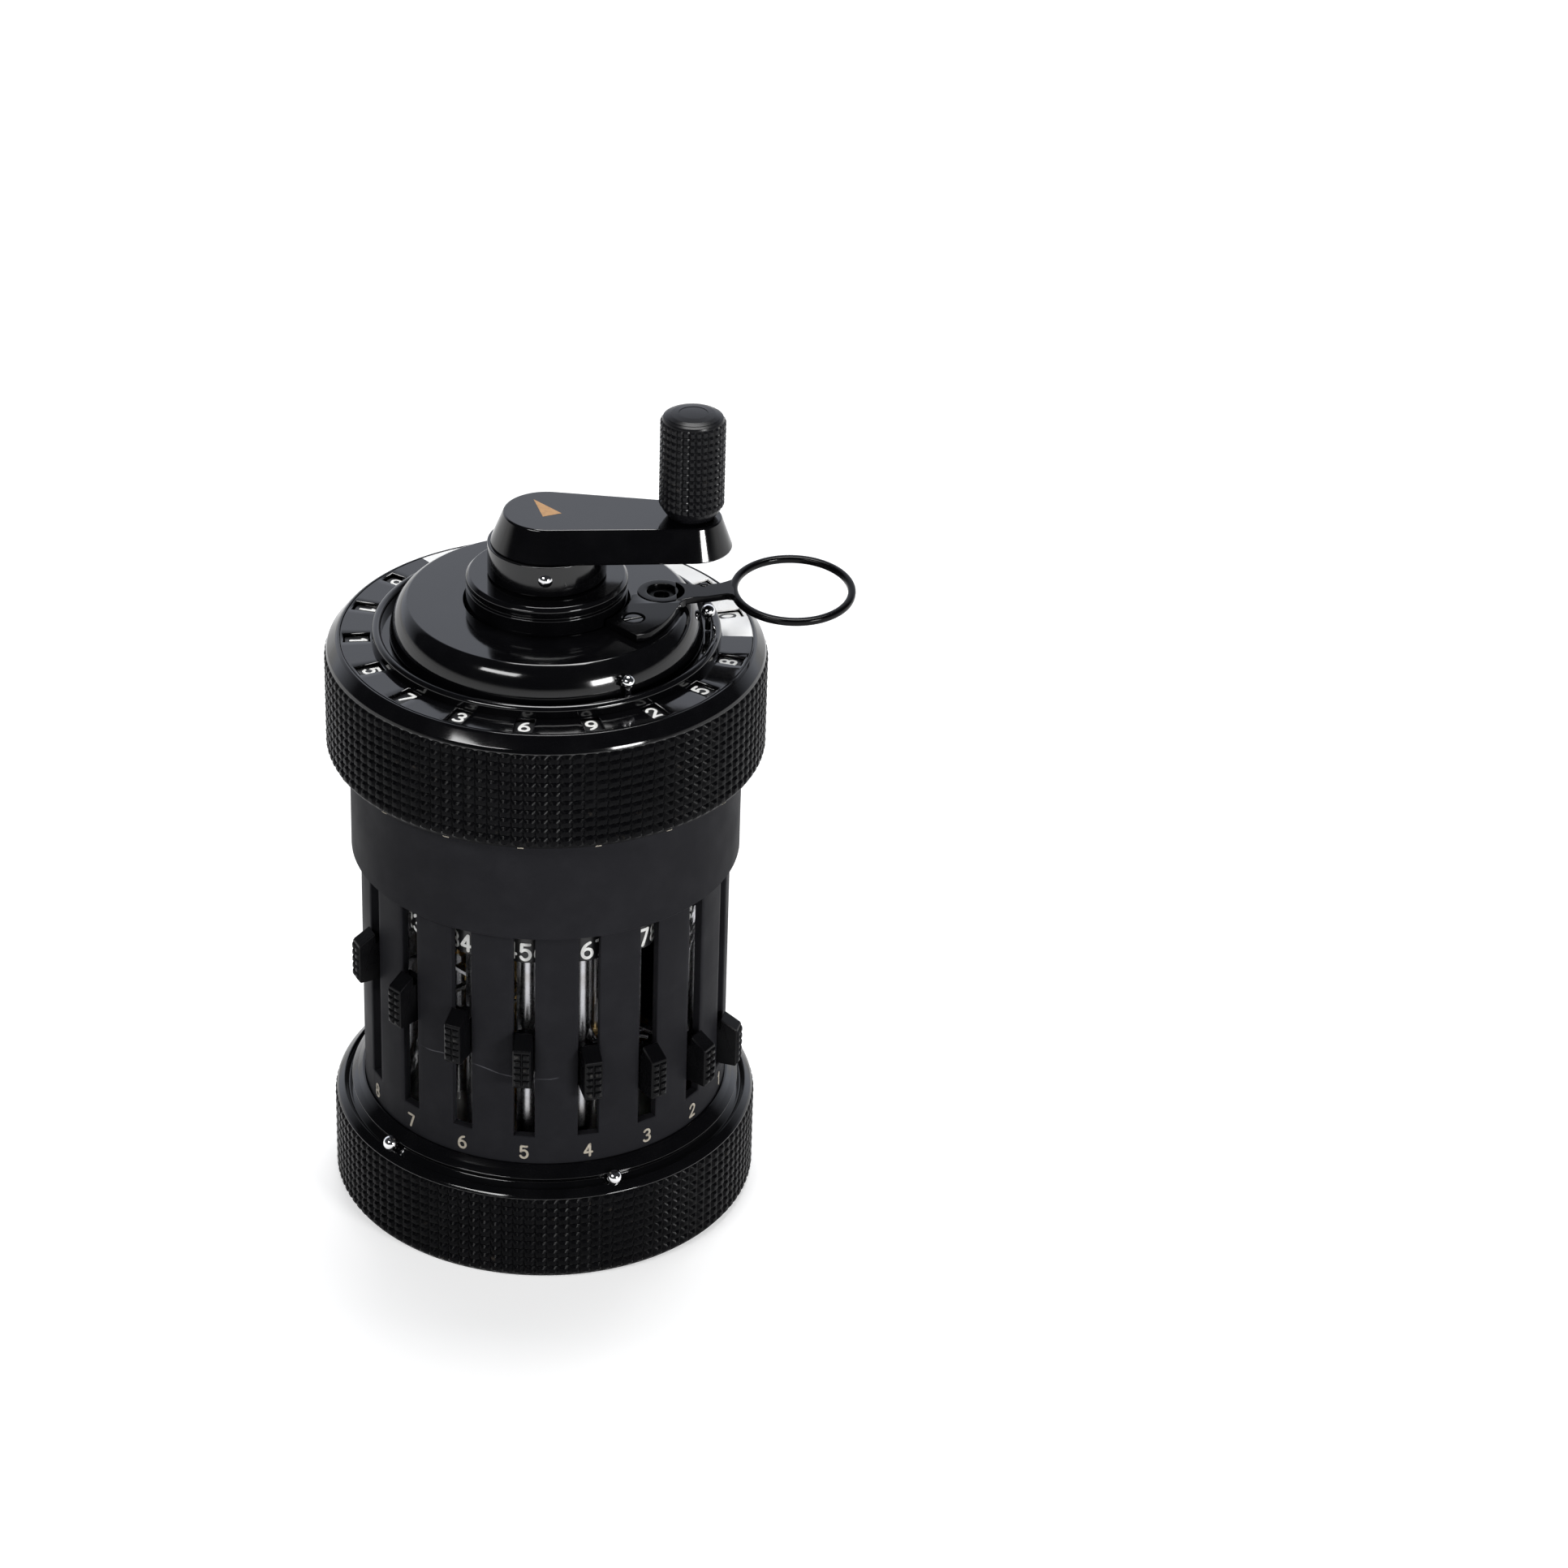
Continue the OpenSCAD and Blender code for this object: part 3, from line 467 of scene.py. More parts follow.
def slab(outline, low, high, edge, frame_at):
    """A flat plate with softened edges; frame_at(x, y, z) puts its points in place."""
    loops = []
    for z, amount in ((low, edge), (low + edge, 0.0), (high - edge, 0.0), (high - edge * 0.3, edge * 0.3),
                      (high, edge)):
        loops.append([frame_at(x, y, z) for x, y in inset(outline, amount)])
    return loft(loops)


def at_azimuth(az):
    """Puts (aside, outward, height) at an azimuth."""
    out, side = axes(az)
    return lambda x, y, z: side * x + out * y + UP * z


def plain(part, material):
    return (*part, material, None)


def painted_above(points, faces, level, above, below):
    """A material for each face: one above a height, another below it."""
    return [above if points[list(face), 2].mean() > level else below for face in faces]


def recessed_slab(outline, low, high, edge, centre, radius, depth):
    """A flat plate with softened edges and a round recess in its top."""
    points, faces = slab(outline, low, high, edge, lambda x, y, z: np.array([x, y, z]))
    count = len(outline)
    top_start = len(points) - count
    turns = np.linspace(0, TAU, 41)[:-1]
    rings = [[(centre[0] + r * math.cos(t), centre[1] + r * math.sin(t), z) for t in turns]
             for r, z in ((radius + 0.12, high), (radius, high - 0.12), (radius, high - depth))]
    start = len(points)
    outer = [Vector(p) for p in points[top_start:]]
    inner = [Vector(p) for p in rings[0]]
    faces = [face for face in faces if min(face) < top_start]
    for triangle in tessellate_polygon([outer, inner]):
        faces.append(tuple(top_start + i if i < count else start + i - count for i in triangle))
    n = len(turns)
    for ring in range(2):
        for k in range(n):
            m = (k + 1) % n
            faces.append((start + ring * n + k, start + ring * n + m, start + (ring + 1) * n + m,
                          start + (ring + 1) * n + k))
    faces.append(tuple(range(start + 2 * n, start + 3 * n)))
    return np.concatenate([points, *[np.array(ring) for ring in rings]]), faces


# Figures, drawn as strokes in a box from -0.5 to 0.5.
def ellipse(cx, cy, rx, ry, start, end, steps=18):
    t = np.radians(np.linspace(start, end, steps + 1))
    return np.stack([cx + rx * np.cos(t), cy + ry * np.sin(t)], 1)


def line(*points):
    p = np.array(points, float)
    t = np.linspace(0, 1, 7)[:, None]
    return p[0] * (1 - t) + p[1] * t


SIX = [ellipse(0, -0.2, 0.5, 0.3, 0, 360), ellipse(0.42, -0.2, 0.92, 0.7, 100, 180, 12)]
STROKES = {
    0: [ellipse(0, 0, 0.5, 0.5, 0, 360, 28)],
    1: [line((-0.25, 0.28), (0.08, 0.5)), line((0.08, 0.5), (0.08, -0.5))],
    2: [ellipse(0, 0.22, 0.5, 0.28, 165, -35), line((0.41, 0.06), (-0.5, -0.5)),
        line((-0.5, -0.5), (0.5, -0.5))],
    3: [ellipse(-0.02, 0.25, 0.44, 0.25, 150, -90), ellipse(-0.02, -0.25, 0.5, 0.25, 90, -150)],
    4: [line((0.22, -0.5), (0.22, 0.5)), line((0.22, 0.5), (-0.5, -0.2)), line((-0.5, -0.2), (0.5, -0.2))],
    5: [line((0.42, 0.5), (-0.36, 0.5)), line((-0.36, 0.5), (-0.4, 0.04)),
        ellipse(-0.02, -0.17, 0.5, 0.33, 140, -150)],
    6: SIX,
    7: [line((-0.5, 0.5), (0.5, 0.5)), line((0.5, 0.5), (-0.12, -0.5))],
    8: [ellipse(0, 0.25, 0.42, 0.25, 0, 360), ellipse(0, -0.25, 0.5, 0.25, 0, 360)],
    9: [-s for s in SIX],
}
INK_ABOVE, INK_BELOW = 0.02, -0.04


def stroke_strip(path, half):
    """Left and right edges of a stroke along a path, with round ends, and whether it closes on itself."""
    closed = bool(np.linalg.norm(path[0] - path[-1]) < 1e-6)
    p = path[:-1] if closed else path
    if closed:
        along = np.roll(p, -1, 0) - np.roll(p, 1, 0)
        widths = np.full(len(p), half)
    else:
        tips = np.radians([80.0, 55.0, 28.0])
        first, last = p[0] - p[1], p[-1] - p[-2]
        first, last = first / np.linalg.norm(first), last / np.linalg.norm(last)
        head = [p[0] + first * half * math.sin(t) for t in tips]
        tail = [p[-1] + last * half * math.sin(t) for t in tips[::-1]]
        widths = np.concatenate([half * np.cos(tips), np.full(len(p), half), half * np.cos(tips[::-1])])
        p = np.concatenate([head, p, tail])
        along = np.gradient(p, axis=0)
    along = along / np.linalg.norm(along, axis=1)[:, None]
    aside = np.stack([-along[:, 1], along[:, 0]], 1) * widths[:, None]
    return p + aside, p - aside, closed


def figure(digit, width, height, stroke, surface, material):
    """One figure laid on a surface; surface(x, y, above) gives points."""
    points, faces = [], []
    count = 0
    scale = np.array([width - stroke, height - stroke])
    for path in STROKES[digit]:
        left, right, closed = stroke_strip(path * scale, stroke / 2)
        n = len(left)
        for edge, above in ((left, INK_ABOVE), (right, INK_ABOVE), (right, INK_BELOW), (left, INK_BELOW)):
            points.append(surface(edge[:, 0], edge[:, 1], above))
        for k in range(n if closed else n - 1):
            m = (k + 1) % n
            for a, b in ((0, 1), (1, 2), (2, 3), (3, 0)):
                faces.append((count + a * n + k, count + b * n + k, count + b * n + m, count + a * n + m))
        if not closed:
            faces.append(tuple(count + a * n for a in range(4)))
            faces.append(tuple(count + a * n + n - 1 for a in range(4)))
        count += 4 * n
    return np.concatenate(points), faces, material, None


def drum_surface(centre, facing, aside, radius, turn):
    """Round a vertical drum: x runs round it from the facing side, y up it."""
    def surface(x, y, above):
        t = np.asarray(x) / radius + math.radians(turn)
        r = radius + above
        return (centre + r * (np.cos(t)[:, None] * facing + np.sin(t)[:, None] * aside)
                + np.asarray(y)[:, None] * UP)
    return surface


def dial_surface(az, turn):
    """Round a number dial: x runs round it from its top, y inwards along it."""
    out, side = axes(az)

    def surface(x, y, above):
        t = np.asarray(x) / DIAL_R + math.radians(turn)
        r = DIAL_R + above
        return (out * (FIGURES_AT - np.asarray(y)[:, None]) + UP * DIAL_Z
                + r * (np.sin(t)[:, None] * side + np.cos(t)[:, None] * UP))
    return surface


# Base cap.
BASE_BUMPS, BASE_ROWS, KNURL_DEPTH = 118, 9, 0.34
groove = [(25.2185, 12.6252), (24.656, 11.922), (23.719, 12.672), (24.2815, 13.3748)]
shoulder = round_corners(
    [(26.2, 11.75), (25.95, 12.05), *groove, (23.5, 14.0), (22.89, BASE_TOP), (22.59, BASE_TOP),
     (22.59, SEAT_Z), (21.0, SEAT_Z), (21.0, 2.0)],
    [0.15, 0.3, 0.12, 0.2, 0.2, 0.12, 0.5, 0.2, 0.05, 0, 0, 0])
# The knurl tips' lighter colour is partly paint wear, partly a painted highlight.
base_points, base_faces, base_wear_and_highlight = turned_with_knurl(
    [(0.0, 2.0), (0.0, 0.0), (25.5, 0.0), (25.8, 0.1), (26.0, 0.3)],
    knurl_rows(BASE_R, 0.45, BASE_KNURL_TOP, BASE_ROWS, BASE_BUMPS, KNURL_DEPTH), shoulder, BASE_BUMPS)
base_paint = painted_above(base_points, base_faces, BASE_KNURL_TOP + 0.05, ENAMEL, KNURL)
make_piece("base_cap_knurled", [(base_points, base_faces, base_paint, base_wear_and_highlight)], "chassis",
           ["base_cap"], 30.0)

# Slotted body and the plain collar above it.
slots = [(place_az(p), SLOT_W / 2, SLOT_LOW, SLOT_TOP) for p in range(1, PLACES + 1)]
back_slot = (REVERSE_AZ, SLOT_W / 2, REVERSE_LOW, REVERSE_LOW + REVERSE_LEN)
body_band = holed_band([*slots, back_slot], (SEAT_Z, UPPER_Z), BODY_R - SHELL_IN, 0.12, tube_place(BODY_R))
make_piece("body_tube", [plain(body_band, BODY_SATIN)], "chassis", ["housing_shell"])
collar_band = holed_band([back_slot], (SLOT_TOP, COLLAR_TOP), COLLAR_R - COLLAR_BORE, 0.15,
                         tube_place(COLLAR_R))
make_piece("body_collar", [plain(collar_band, SATIN)], "chassis", ["label_collar"])

# Carriage ring.
CARRIAGE_BUMPS, CARRIAGE_ROWS = 115, 10
# The flange ends just under the dials, which are a little larger than their solids.
FLANGE_TOP = 67.9
carriage_lip = round_corners(
    [(26.25, 73.95), (26.1, 74.35), (25.1, 75.5), (24.84, RING_TOP), (RING_SEAT_R, RING_TOP),
     (RING_SEAT_R, RING_UNDER), (CARRIAGE_BORE, RING_UNDER), (CARRIAGE_BORE, FLANGE_TOP), (20.04, FLANGE_TOP),
     (20.04, FLANGE_Z), (SKIRT_BORE, FLANGE_Z)],
    [0.1, 0.5, 0.6, 0.15, 0.05, 0, 0, 0, 0, 0, 0])
carriage_points, carriage_faces, carriage_wear_and_highlight = turned_with_knurl(
    [(SKIRT_BORE, CARRIAGE_Z + 0.2), (SKIRT_BORE + 0.2, CARRIAGE_Z), (25.8, CARRIAGE_Z),
     (26.1, CARRIAGE_Z + 0.18)],
    knurl_rows(CARRIAGE_R, CARRIAGE_Z + 0.4, KNURL_TOP, CARRIAGE_ROWS, CARRIAGE_BUMPS, KNURL_DEPTH),
    carriage_lip, CARRIAGE_BUMPS)
carriage_paint = painted_above(carriage_points, carriage_faces, KNURL_TOP + 0.05, ENAMEL, KNURL)
make_piece("carriage_ring_knurled", [(carriage_points, carriage_faces, carriage_paint, carriage_wear_and_highlight)],
           "carriage", ["carriage_ring"], 30.0)

# Window ring: black, with the counter's sector white, and its round ridge.
WHITE_FROM, WHITE_TO = counter_az(1) - DIAL_GAP / 2, counter_az(COUNTERS) + DIAL_GAP / 2
dial_azimuths = [place_az(p) for p in range(1, RESULTS + 1)] + [counter_az(n) for n in range(1, COUNTERS + 1)]
windows = [(az, WINDOW_W / 2, WINDOW_IN, WINDOW_OUT) for az in dial_azimuths]
ring_points, ring_faces = holed_band(windows, (RING_IN, RING_SEAT_R - 0.05), RING_TOP - RING_UNDER, 0.1,
                                     disc_place(RING_TOP), 1.0)
ring_paint = []
for face in ring_faces:
    middle = ring_points[list(face)].mean(0)
    az = math.degrees(math.atan2(middle[0], -middle[1])) % 360.0
    in_sector = WHITE_FROM < az < WHITE_TO and math.hypot(middle[0], middle[1]) > RIDGE_AT
    ring_paint.append(WHITE_ENAMEL if in_sector and middle[2] > RING_UNDER + 0.05 else ENAMEL)
ridge = [(RIDGE_AT - RIDGE_R, RING_TOP - 0.2)]
ridge += [(RIDGE_AT - RIDGE_R * math.cos(t), RING_TOP + 0.75 + RIDGE_R * math.sin(t))
          for t in np.linspace(0, math.pi, 17)]
ridge += [(RIDGE_AT + RIDGE_R, RING_TOP - 0.2)]
ring_parts = [(ring_points, ring_faces, ring_paint, None), plain(lathe(ridge, 240), ENAMEL)]
make_piece("window_ring_fine", ring_parts, "carriage", ["window_ring"])

# Clearing plate and boss.
SLOPE_BEND, SLOPE_LOW = (18.2, 79.7), 76.3
plate_slope = []
for t in np.linspace(0.0, 1.0, 25):
    low_share, bend_share, top_share = (1 - t) ** 2, 2 * t * (1 - t), t ** 2
    plate_slope.append((low_share * PLATE_R + bend_share * SLOPE_BEND[0] + top_share * PLATE_FLAT,
                        low_share * SLOPE_LOW + bend_share * SLOPE_BEND[1] + top_share * PLATE_TOP))
plate = round_corners(
    [(9.9, 79.2), (15.3, 79.2), (17.49, 76.9), (17.49, 75.9), (PLATE_R, 75.9), *plate_slope,
     (9.9, PLATE_TOP)],
    [0, 0, 0, 0, 0.15, *[0] * len(plate_slope), 0.1])
make_piece("clearing_plate_smooth", [plain(lathe(plate, 240), ENAMEL)], "clearing",
           ["clearing_plate"])
boss = round_corners(
    [(TUBE_BORE, NUT_Z), (NUT_STUB_R, NUT_Z), (NUT_STUB_R, BOSS_Z), (BOSS_R, BOSS_Z), (BOSS_R, 82.3),
     (9.3, 82.4), (9.3, 82.7), (BOSS_R, 82.8), (BOSS_R, 83.5), (9.2, BOSS_TOP), (TUBE_BORE, BOSS_TOP)],
    [0, 0, 0, 0.2, 0.15, 0.08, 0.08, 0.15, 0.25, 0.25, 0])
make_piece("boss", [plain(lathe(boss, 160), ENAMEL)], "chassis", ["retaining_nut"])

# Clearing lever, with its bracket, screw and hollow pivot.
lever_at = at_azimuth(LEVER_AZ)
lever_out, _ = axes(LEVER_AZ)
ring_profile = round_corners([(RING_R - RING_BAND, LEVER_Z), (RING_R, LEVER_Z), (RING_R, LEVER_TOP),
                              (RING_R - RING_BAND, LEVER_TOP)], [0.4, 0.4, 0.4, 0.4], 5)
EYE_R, EYE_HOLE, POST_R = 2.9, 1.75, 1.7
eye_profile = round_corners(
    [(EYE_HOLE, LEVER_Z), (EYE_R, LEVER_Z), (EYE_R, LEVER_TOP), (EYE_HOLE, LEVER_TOP)], [0, 0.1, 0.15, 0.2])
NECK_HALF, NECK_BEND, NECK_END = 1.5, 18.8, RING_AT - RING_R + 0.45
neck_side = [(2.45, 15.2), (2.15, 16.0), (1.8, 16.9), (1.6, 17.8), (NECK_HALF, NECK_BEND), (NECK_HALF, 20.6),
             (1.6, 21.3), (1.9, 21.9), (2.3, NECK_END)]
neck = [(-x, y) for x, y in neck_side] + neck_side[::-1]
nub = [(1.55 + 0.5 * math.sin(t), 18.7 + 0.55 * math.cos(t)) for t in np.linspace(0, TAU, 13)[:-1]]
pivot_centre = tuple(lever_out[:2] * LEVER_PIVOT)
RING_RISE, RING_TILT = 0.55, math.radians(4.5)
ring_centre = lever_out * RING_AT + UP * (LEVER_Z + LEVER_TOP) / 2
ring_points, ring_faces = lathe(ring_profile, 96, tuple(ring_centre[:2]))
ring_turn = np.array(Matrix.Rotation(RING_TILT, 3, Vector(lever_out)))
ring_points = (ring_points - ring_centre) @ ring_turn.T + ring_centre + UP * RING_RISE


def bent_neck(x, y, z):
    """Puts the neck's points in place, with its end bent up to the finger ring."""
    t = min(1.0, max(0.0, (y - NECK_BEND) / (NECK_END - NECK_BEND)))
    return lever_at(x, y, z + RING_RISE * t * t * (3 - 2 * t))


lever_parts = [
    plain((ring_points, ring_faces), LEVER_ENAMEL),
    plain(lathe(eye_profile, 48, pivot_centre), LEVER_ENAMEL),
    plain(slab(neck[::-1], LEVER_Z, LEVER_TOP, 0.12, bent_neck), LEVER_ENAMEL),
    plain(slab(nub[::-1], LEVER_Z, LEVER_TOP + 0.1, 0.12, lever_at), LEVER_ENAMEL),
]
make_piece("clearing_lever_ring", lever_parts, "lever", ["clearing_lever"])


def flat_point(r, az):
    a = math.radians(az)
    return (r * math.sin(a), -r * math.cos(a))


BRACKET_IN, BRACKET_OUT = 10.1, 15.85
bracket = [flat_point(15.2, 40), flat_point(15.65, 43)]
bracket += [flat_point(BRACKET_OUT, a) for a in np.linspace(46, 70, 13)]
bracket += [(15.25, -4.7), (15.5, -4.0), (15.85, -3.45), (16.25, -3.05), (15.9, -3.08), (15.35, -3.3)]
bracket += [(pivot_centre[0] + 3.02 * math.cos(t), pivot_centre[1] + 3.02 * math.sin(t))
            for t in np.radians(np.linspace(-60, -172, 17))]
bracket += [flat_point(BRACKET_IN, a) for a in np.linspace(82, 40, 22)]
SCREW_R, SCREW_AT, SCREW_AZ, SCREW_SEAT = 1.15, 12.2, 52.8, 0.7
screw_centre = flat_point(SCREW_AT, SCREW_AZ)
make_piece("lever_bracket_plate",
           [plain(recessed_slab(bracket, PLATE_TOP, LEVER_TOP, 0.1, screw_centre, SCREW_R + 0.15, SCREW_SEAT),
                  LEVER_ENAMEL)],
           "clearing", ["lever_bracket"])
SLOT_HALF, SLOT_TURN, SLOT_DEPTH = 0.16, math.radians(20.0), 0.25
head_top = LEVER_TOP - 0.12
slot_angle = math.asin(SLOT_HALF / SCREW_R)
screw_outline = [(SCREW_R * math.cos(t), SCREW_R * math.sin(t))
                 for t in np.linspace(slot_angle, math.pi - slot_angle, 20)]


def screw_half(sign):
    """Half of a slotted head, on one side of its slot."""
    c, s = sign * math.cos(SLOT_TURN), sign * math.sin(SLOT_TURN)
    return lambda x, y, z: np.array([screw_centre[0] + c * x - s * y, screw_centre[1] + s * x + c * y, z])


screw_low = LEVER_TOP - SCREW_SEAT
screw_floor = head_top - SLOT_DEPTH
core_r = SCREW_R - 0.02
screw_core = [(0.0, screw_low), (core_r, screw_low), (core_r, screw_floor), (0.0, screw_floor)]
screw_parts = [plain(slab(screw_outline, screw_low, head_top, 0.1, screw_half(sign)), ENAMEL)
               for sign in (1, -1)]
screw_parts.append(plain(lathe(screw_core, 48, screw_centre), ENAMEL))
POST_TOP, POST_BORE = LEVER_TOP - 0.55, 0.9
post = round_corners([(POST_BORE, PLATE_TOP), (POST_R, PLATE_TOP), (POST_R, POST_TOP), (POST_BORE, POST_TOP)],
                     [0, 0, 0.1, 0.15])
screw_parts.append(plain(lathe(post, 48, pivot_centre), KNURL))
make_piece("lever_screw_and_pivot", screw_parts, "clearing", ["lever_screws"])

# Crank.
hub = round_corners([(SHAFT_BORE, HUB_Z), (HUB_R, HUB_Z), (HUB_R, ARM_Z), (SHAFT_BORE, ARM_Z)],
                    [0, 0.2, 0.12, 0])
ARM_HUB_LOW, ARM_HUB_TOP, ARM_KNOB_LOW, ARM_KNOB_TOP = 6.75, 5.15, 5.0, 3.6
arm_at = at_azimuth(KNOB_AZ)


def arm_loop(z, r_hub, r_knob, steps=40):
    """The outline round the arm's two ends at one height."""
    lean = math.acos((r_hub - r_knob) / KNOB_AT)
    points = [arm_at(r_hub * math.sin(t), r_hub * math.cos(t), z)
              for t in np.linspace(lean, TAU - lean, steps)]
    points += [arm_at(r_knob * math.sin(t), KNOB_AT + r_knob * math.cos(t), z)
               for t in np.linspace(-lean, lean, steps)]
    return points


ARM_EDGES = ((0.0, 0.3), (0.06, 0.12), (0.22, 0.0), (3.75, 0.0), (3.87, 0.03), (3.93, 0.1), (3.95, 0.2))
arm_loops = []
for rise, drawn_in in ARM_EDGES:
    t = rise / (ARM_TOP - ARM_Z)
    arm_loops.append(arm_loop(ARM_Z + rise, ARM_HUB_LOW + (ARM_HUB_TOP - ARM_HUB_LOW) * t - drawn_in,
                              ARM_KNOB_LOW + (ARM_KNOB_TOP - ARM_KNOB_LOW) * t - drawn_in))
make_piece("crank_arm_smooth", [plain(lathe(hub, 160), ENAMEL), plain(loft(arm_loops), ENAMEL)], "crank",
           ["crank_arm"])
MARK_LOW, MARK_TOP = ARM_TOP - 0.1, ARM_TOP + 0.015
mark = [(-1.42, 3.04), (-0.6, -1.54), (1.63, -0.77)]
mark_loops = [[(x, y, z) for x, y in mark] for z in (MARK_LOW, MARK_TOP)]
make_piece("crank_arrow", [plain(loft(mark_loops), TAN_INK)], "crank")
KNOB_BUMPS, KNOB_ROWS, KNOB_DEPTH = 30, 12, 0.26
knob_cap = [(KNOB_R - 0.28, KNOB_GRIP_TOP + 0.12), (KNOB_R - 0.36, KNOB_GRIP_TOP + 0.3)]
knob_cap += round_corners([(3.38, 104.9), (2.6, 105.15), (1.4, 105.31)], [0.3, 0.4, 0.4], 3)
knob_cap += [(0.0, 105.35), (0.0, 103.5), (1.55, 103.5)]
knob_points, knob_faces, knob_wear_and_highlight = turned_with_knurl(
    [(1.55, KNOB_Z), (2.7, KNOB_Z), (2.86, KNOB_Z + 0.12), (3.5, 93.2)],
    knurl_rows(KNOB_R, 93.55, KNOB_GRIP_TOP, KNOB_ROWS, KNOB_BUMPS, KNOB_DEPTH), knob_cap, KNOB_BUMPS,
    tuple(arm_at(0.0, KNOB_AT, 0.0)[:2]))
make_piece("crank_knob_knurled", [(knob_points, knob_faces, KNOB, knob_wear_and_highlight)], "knob",
           ["crank_knob"], 30.0)


def bead_part(radius, foot, foot_r, centre, axis, material):
    """A ball on a short foot along an axis; the ball's middle is at centre."""
    start = math.asin(min(1.0, foot_r / radius))
    rows = [(0.0, -foot), (foot_r, -foot)]
    rows += [(radius * math.sin(t), radius * math.cos(t)) for t in np.linspace(math.pi - start, 0.0, 16)[:-1]]
    rows.append((0.0, radius))
    points, faces = lathe(rows, 32)
    turn = np.array(Vector((0, 0, 1)).rotation_difference(Vector(axis)).to_matrix())
    return points @ turn.T + np.asarray(centre, float), faces, material, None


PIN_Z, PIN_AZ = HUB_Z + (ARM_Z - HUB_Z) * 0.55, -5.0
pin_out, _ = axes(PIN_AZ)
pin_centre = pin_out * (HUB_R - 0.55) + UP * PIN_Z
make_piece("hub_pin_end", [bead_part(0.98, HUB_R, 0.85, pin_centre, pin_out, BRIGHT)], "crank",
           ["hub_pin"])

# Decimal markers.
SHOULDER_UP = (0.6247, 0.7809)
BASE_BEAD_AT, BASE_BEAD_Z, BASE_BEAD_RISE = 24.75, 13.0, 0.2
for n, az in ((1, -53.0), (2, 16.35)):
    out, _ = axes(az)
    lean = out * SHOULDER_UP[0] + UP * SHOULDER_UP[1]
    bead_centre = out * BASE_BEAD_AT + UP * BASE_BEAD_Z + lean * BASE_BEAD_RISE
    make_piece(f"base_marker_bead_{n}", [bead_part(0.95, 0.9, 0.42, bead_centre, lean, BRIGHT)],
               f"base_marker_{n}", [f"base_marker_{n}"])
MARKER_AT, MARKER_Z = 19.24, 78.3
for name, az, body, node in (("carriage_marker_bead", 25.7, "carriage_marker", ["carriage_marker"]),
                             ("carriage_fixed_bead", 89.0, "carriage", [])):
    out, _ = axes(az)
    make_piece(name, [bead_part(0.85, 2.4, 0.35, out * MARKER_AT + UP * MARKER_Z, (0, 0, 1), BRIGHT)], body,
               node)


# Setting sliders: ribbed knob, guide, fork and grooved gear.
def box_part(az, low, high, edge, material):
    """A block with softened edges, from (aside, outward, height) corners."""
    outline = [(low[0], low[1]), (high[0], low[1]), (high[0], high[1]), (low[0], high[1])]
    return plain(slab(outline, low[2], high[2], edge, at_azimuth(az)), material)


def gear_outline(teeth, root, tip):
    out = []
    for i in range(teeth):
        for share, r in ((0.0, root), (0.3, root), (0.45, tip), (0.85, tip)):
            a = TAU * (i + share) / teeth
            out.append((r * math.cos(a), r * math.sin(a)))
    return out


FACE_R, KNOB_HALF_W = 25.02, 1.1
GRIP_ROWS, GRIP_RISE, GRIP_LOW, GRIP_HEIGHT, GRIP_SHARE = 5, 0.26, -2.35, 4.7, 0.92
FORK_HALF, GEAR_TEETH = 0.25, 10
knob_side = [(20.0, -2.5), (24.85, -2.65), (FACE_R, -2.45), (FACE_R, 2.5), (24.85, 2.75), (22.95, 3.9),
             (22.85, 3.85), (22.8, 2.6), (20.0, 2.5)]


def slider_parts(p):
    az = place_az(p)
    z = slider_z(p)
    out, side = axes(az)

    def upright(x, y, across):
        return out * x + UP * (z + y) + side * across

    parts = [plain(slab(knob_side, -KNOB_HALF_W, KNOB_HALF_W, 0.14, upright), SLIDER)]
    cell = KNOB_HALF_W * GRIP_SHARE
    tall = GRIP_HEIGHT / GRIP_ROWS
    for row in range(GRIP_ROWS):
        for column in range(2):
            mid_y = GRIP_LOW + tall * (row + 0.5)
            mid_x = (column - 0.5) * cell
            loops = []
            for rise, share in ((-0.1, 0.47), (0.0, 0.46), (GRIP_RISE * 0.7, 0.3), (GRIP_RISE, 0.16)):
                loops.append([out * (FACE_R + rise) + side * (mid_x + dx * cell * share)
                              + UP * (z + mid_y + dy * tall * share)
                              for dx, dy in ((-1, -1), (1, -1), (1, 1), (-1, 1))])
            points, faces = loft(loops)
            # The tops of the grip bumps get the lighter tip colour: partly paint wear, partly a painted
            # highlight.
            parts.append((points, faces, SLIDER, [0] * 8 + [0.5] * 4 + [1] * 4))
    parts.append(box_part(az, (-2.1, 20.6, z - 2.6), (2.1, 21.28, z + 2.6), 0.06, SLIDER))
    for low, high in (((1.7, 12.9), (2.5, 20.8)), ((-1.75, 12.85), (2.5, 13.8)),
                      ((-1.75, 11.0), (-1.75 + 0.43, 12.9)), ((1.32, 11.0), (1.32 + 0.43, 12.9))):
        parts.append(box_part(az, (*low, z - FORK_HALF), (*high, z + FORK_HALF), 0.05, STEEL))
    gear_centre = tuple(out[:2] * TRANSMISSION_AT)
    gear = [[(gear_centre[0] + x, gear_centre[1] + y, z + h) for x, y in gear_outline(GEAR_TEETH, 1.31, 1.75)]
            for h in (-1.55, -0.35)]
    parts.append(plain(loft(gear), BRASS))
    sleeve = [(0.85, z - 0.35), (1.2, z - 0.35), (1.2, z + 0.35), (1.75, z + 0.35), (1.75, z + 0.85),
              (0.85, z + 0.85)]
    parts.append(plain(lathe(sleeve, 40, gear_centre), BRASS))
    return parts


for p in range(1, PLACES + 1):
    make_piece(f"slider_knob_{p}", slider_parts(p), f"setting_slider_{p}",
               [f"setting_slider_{p}"])

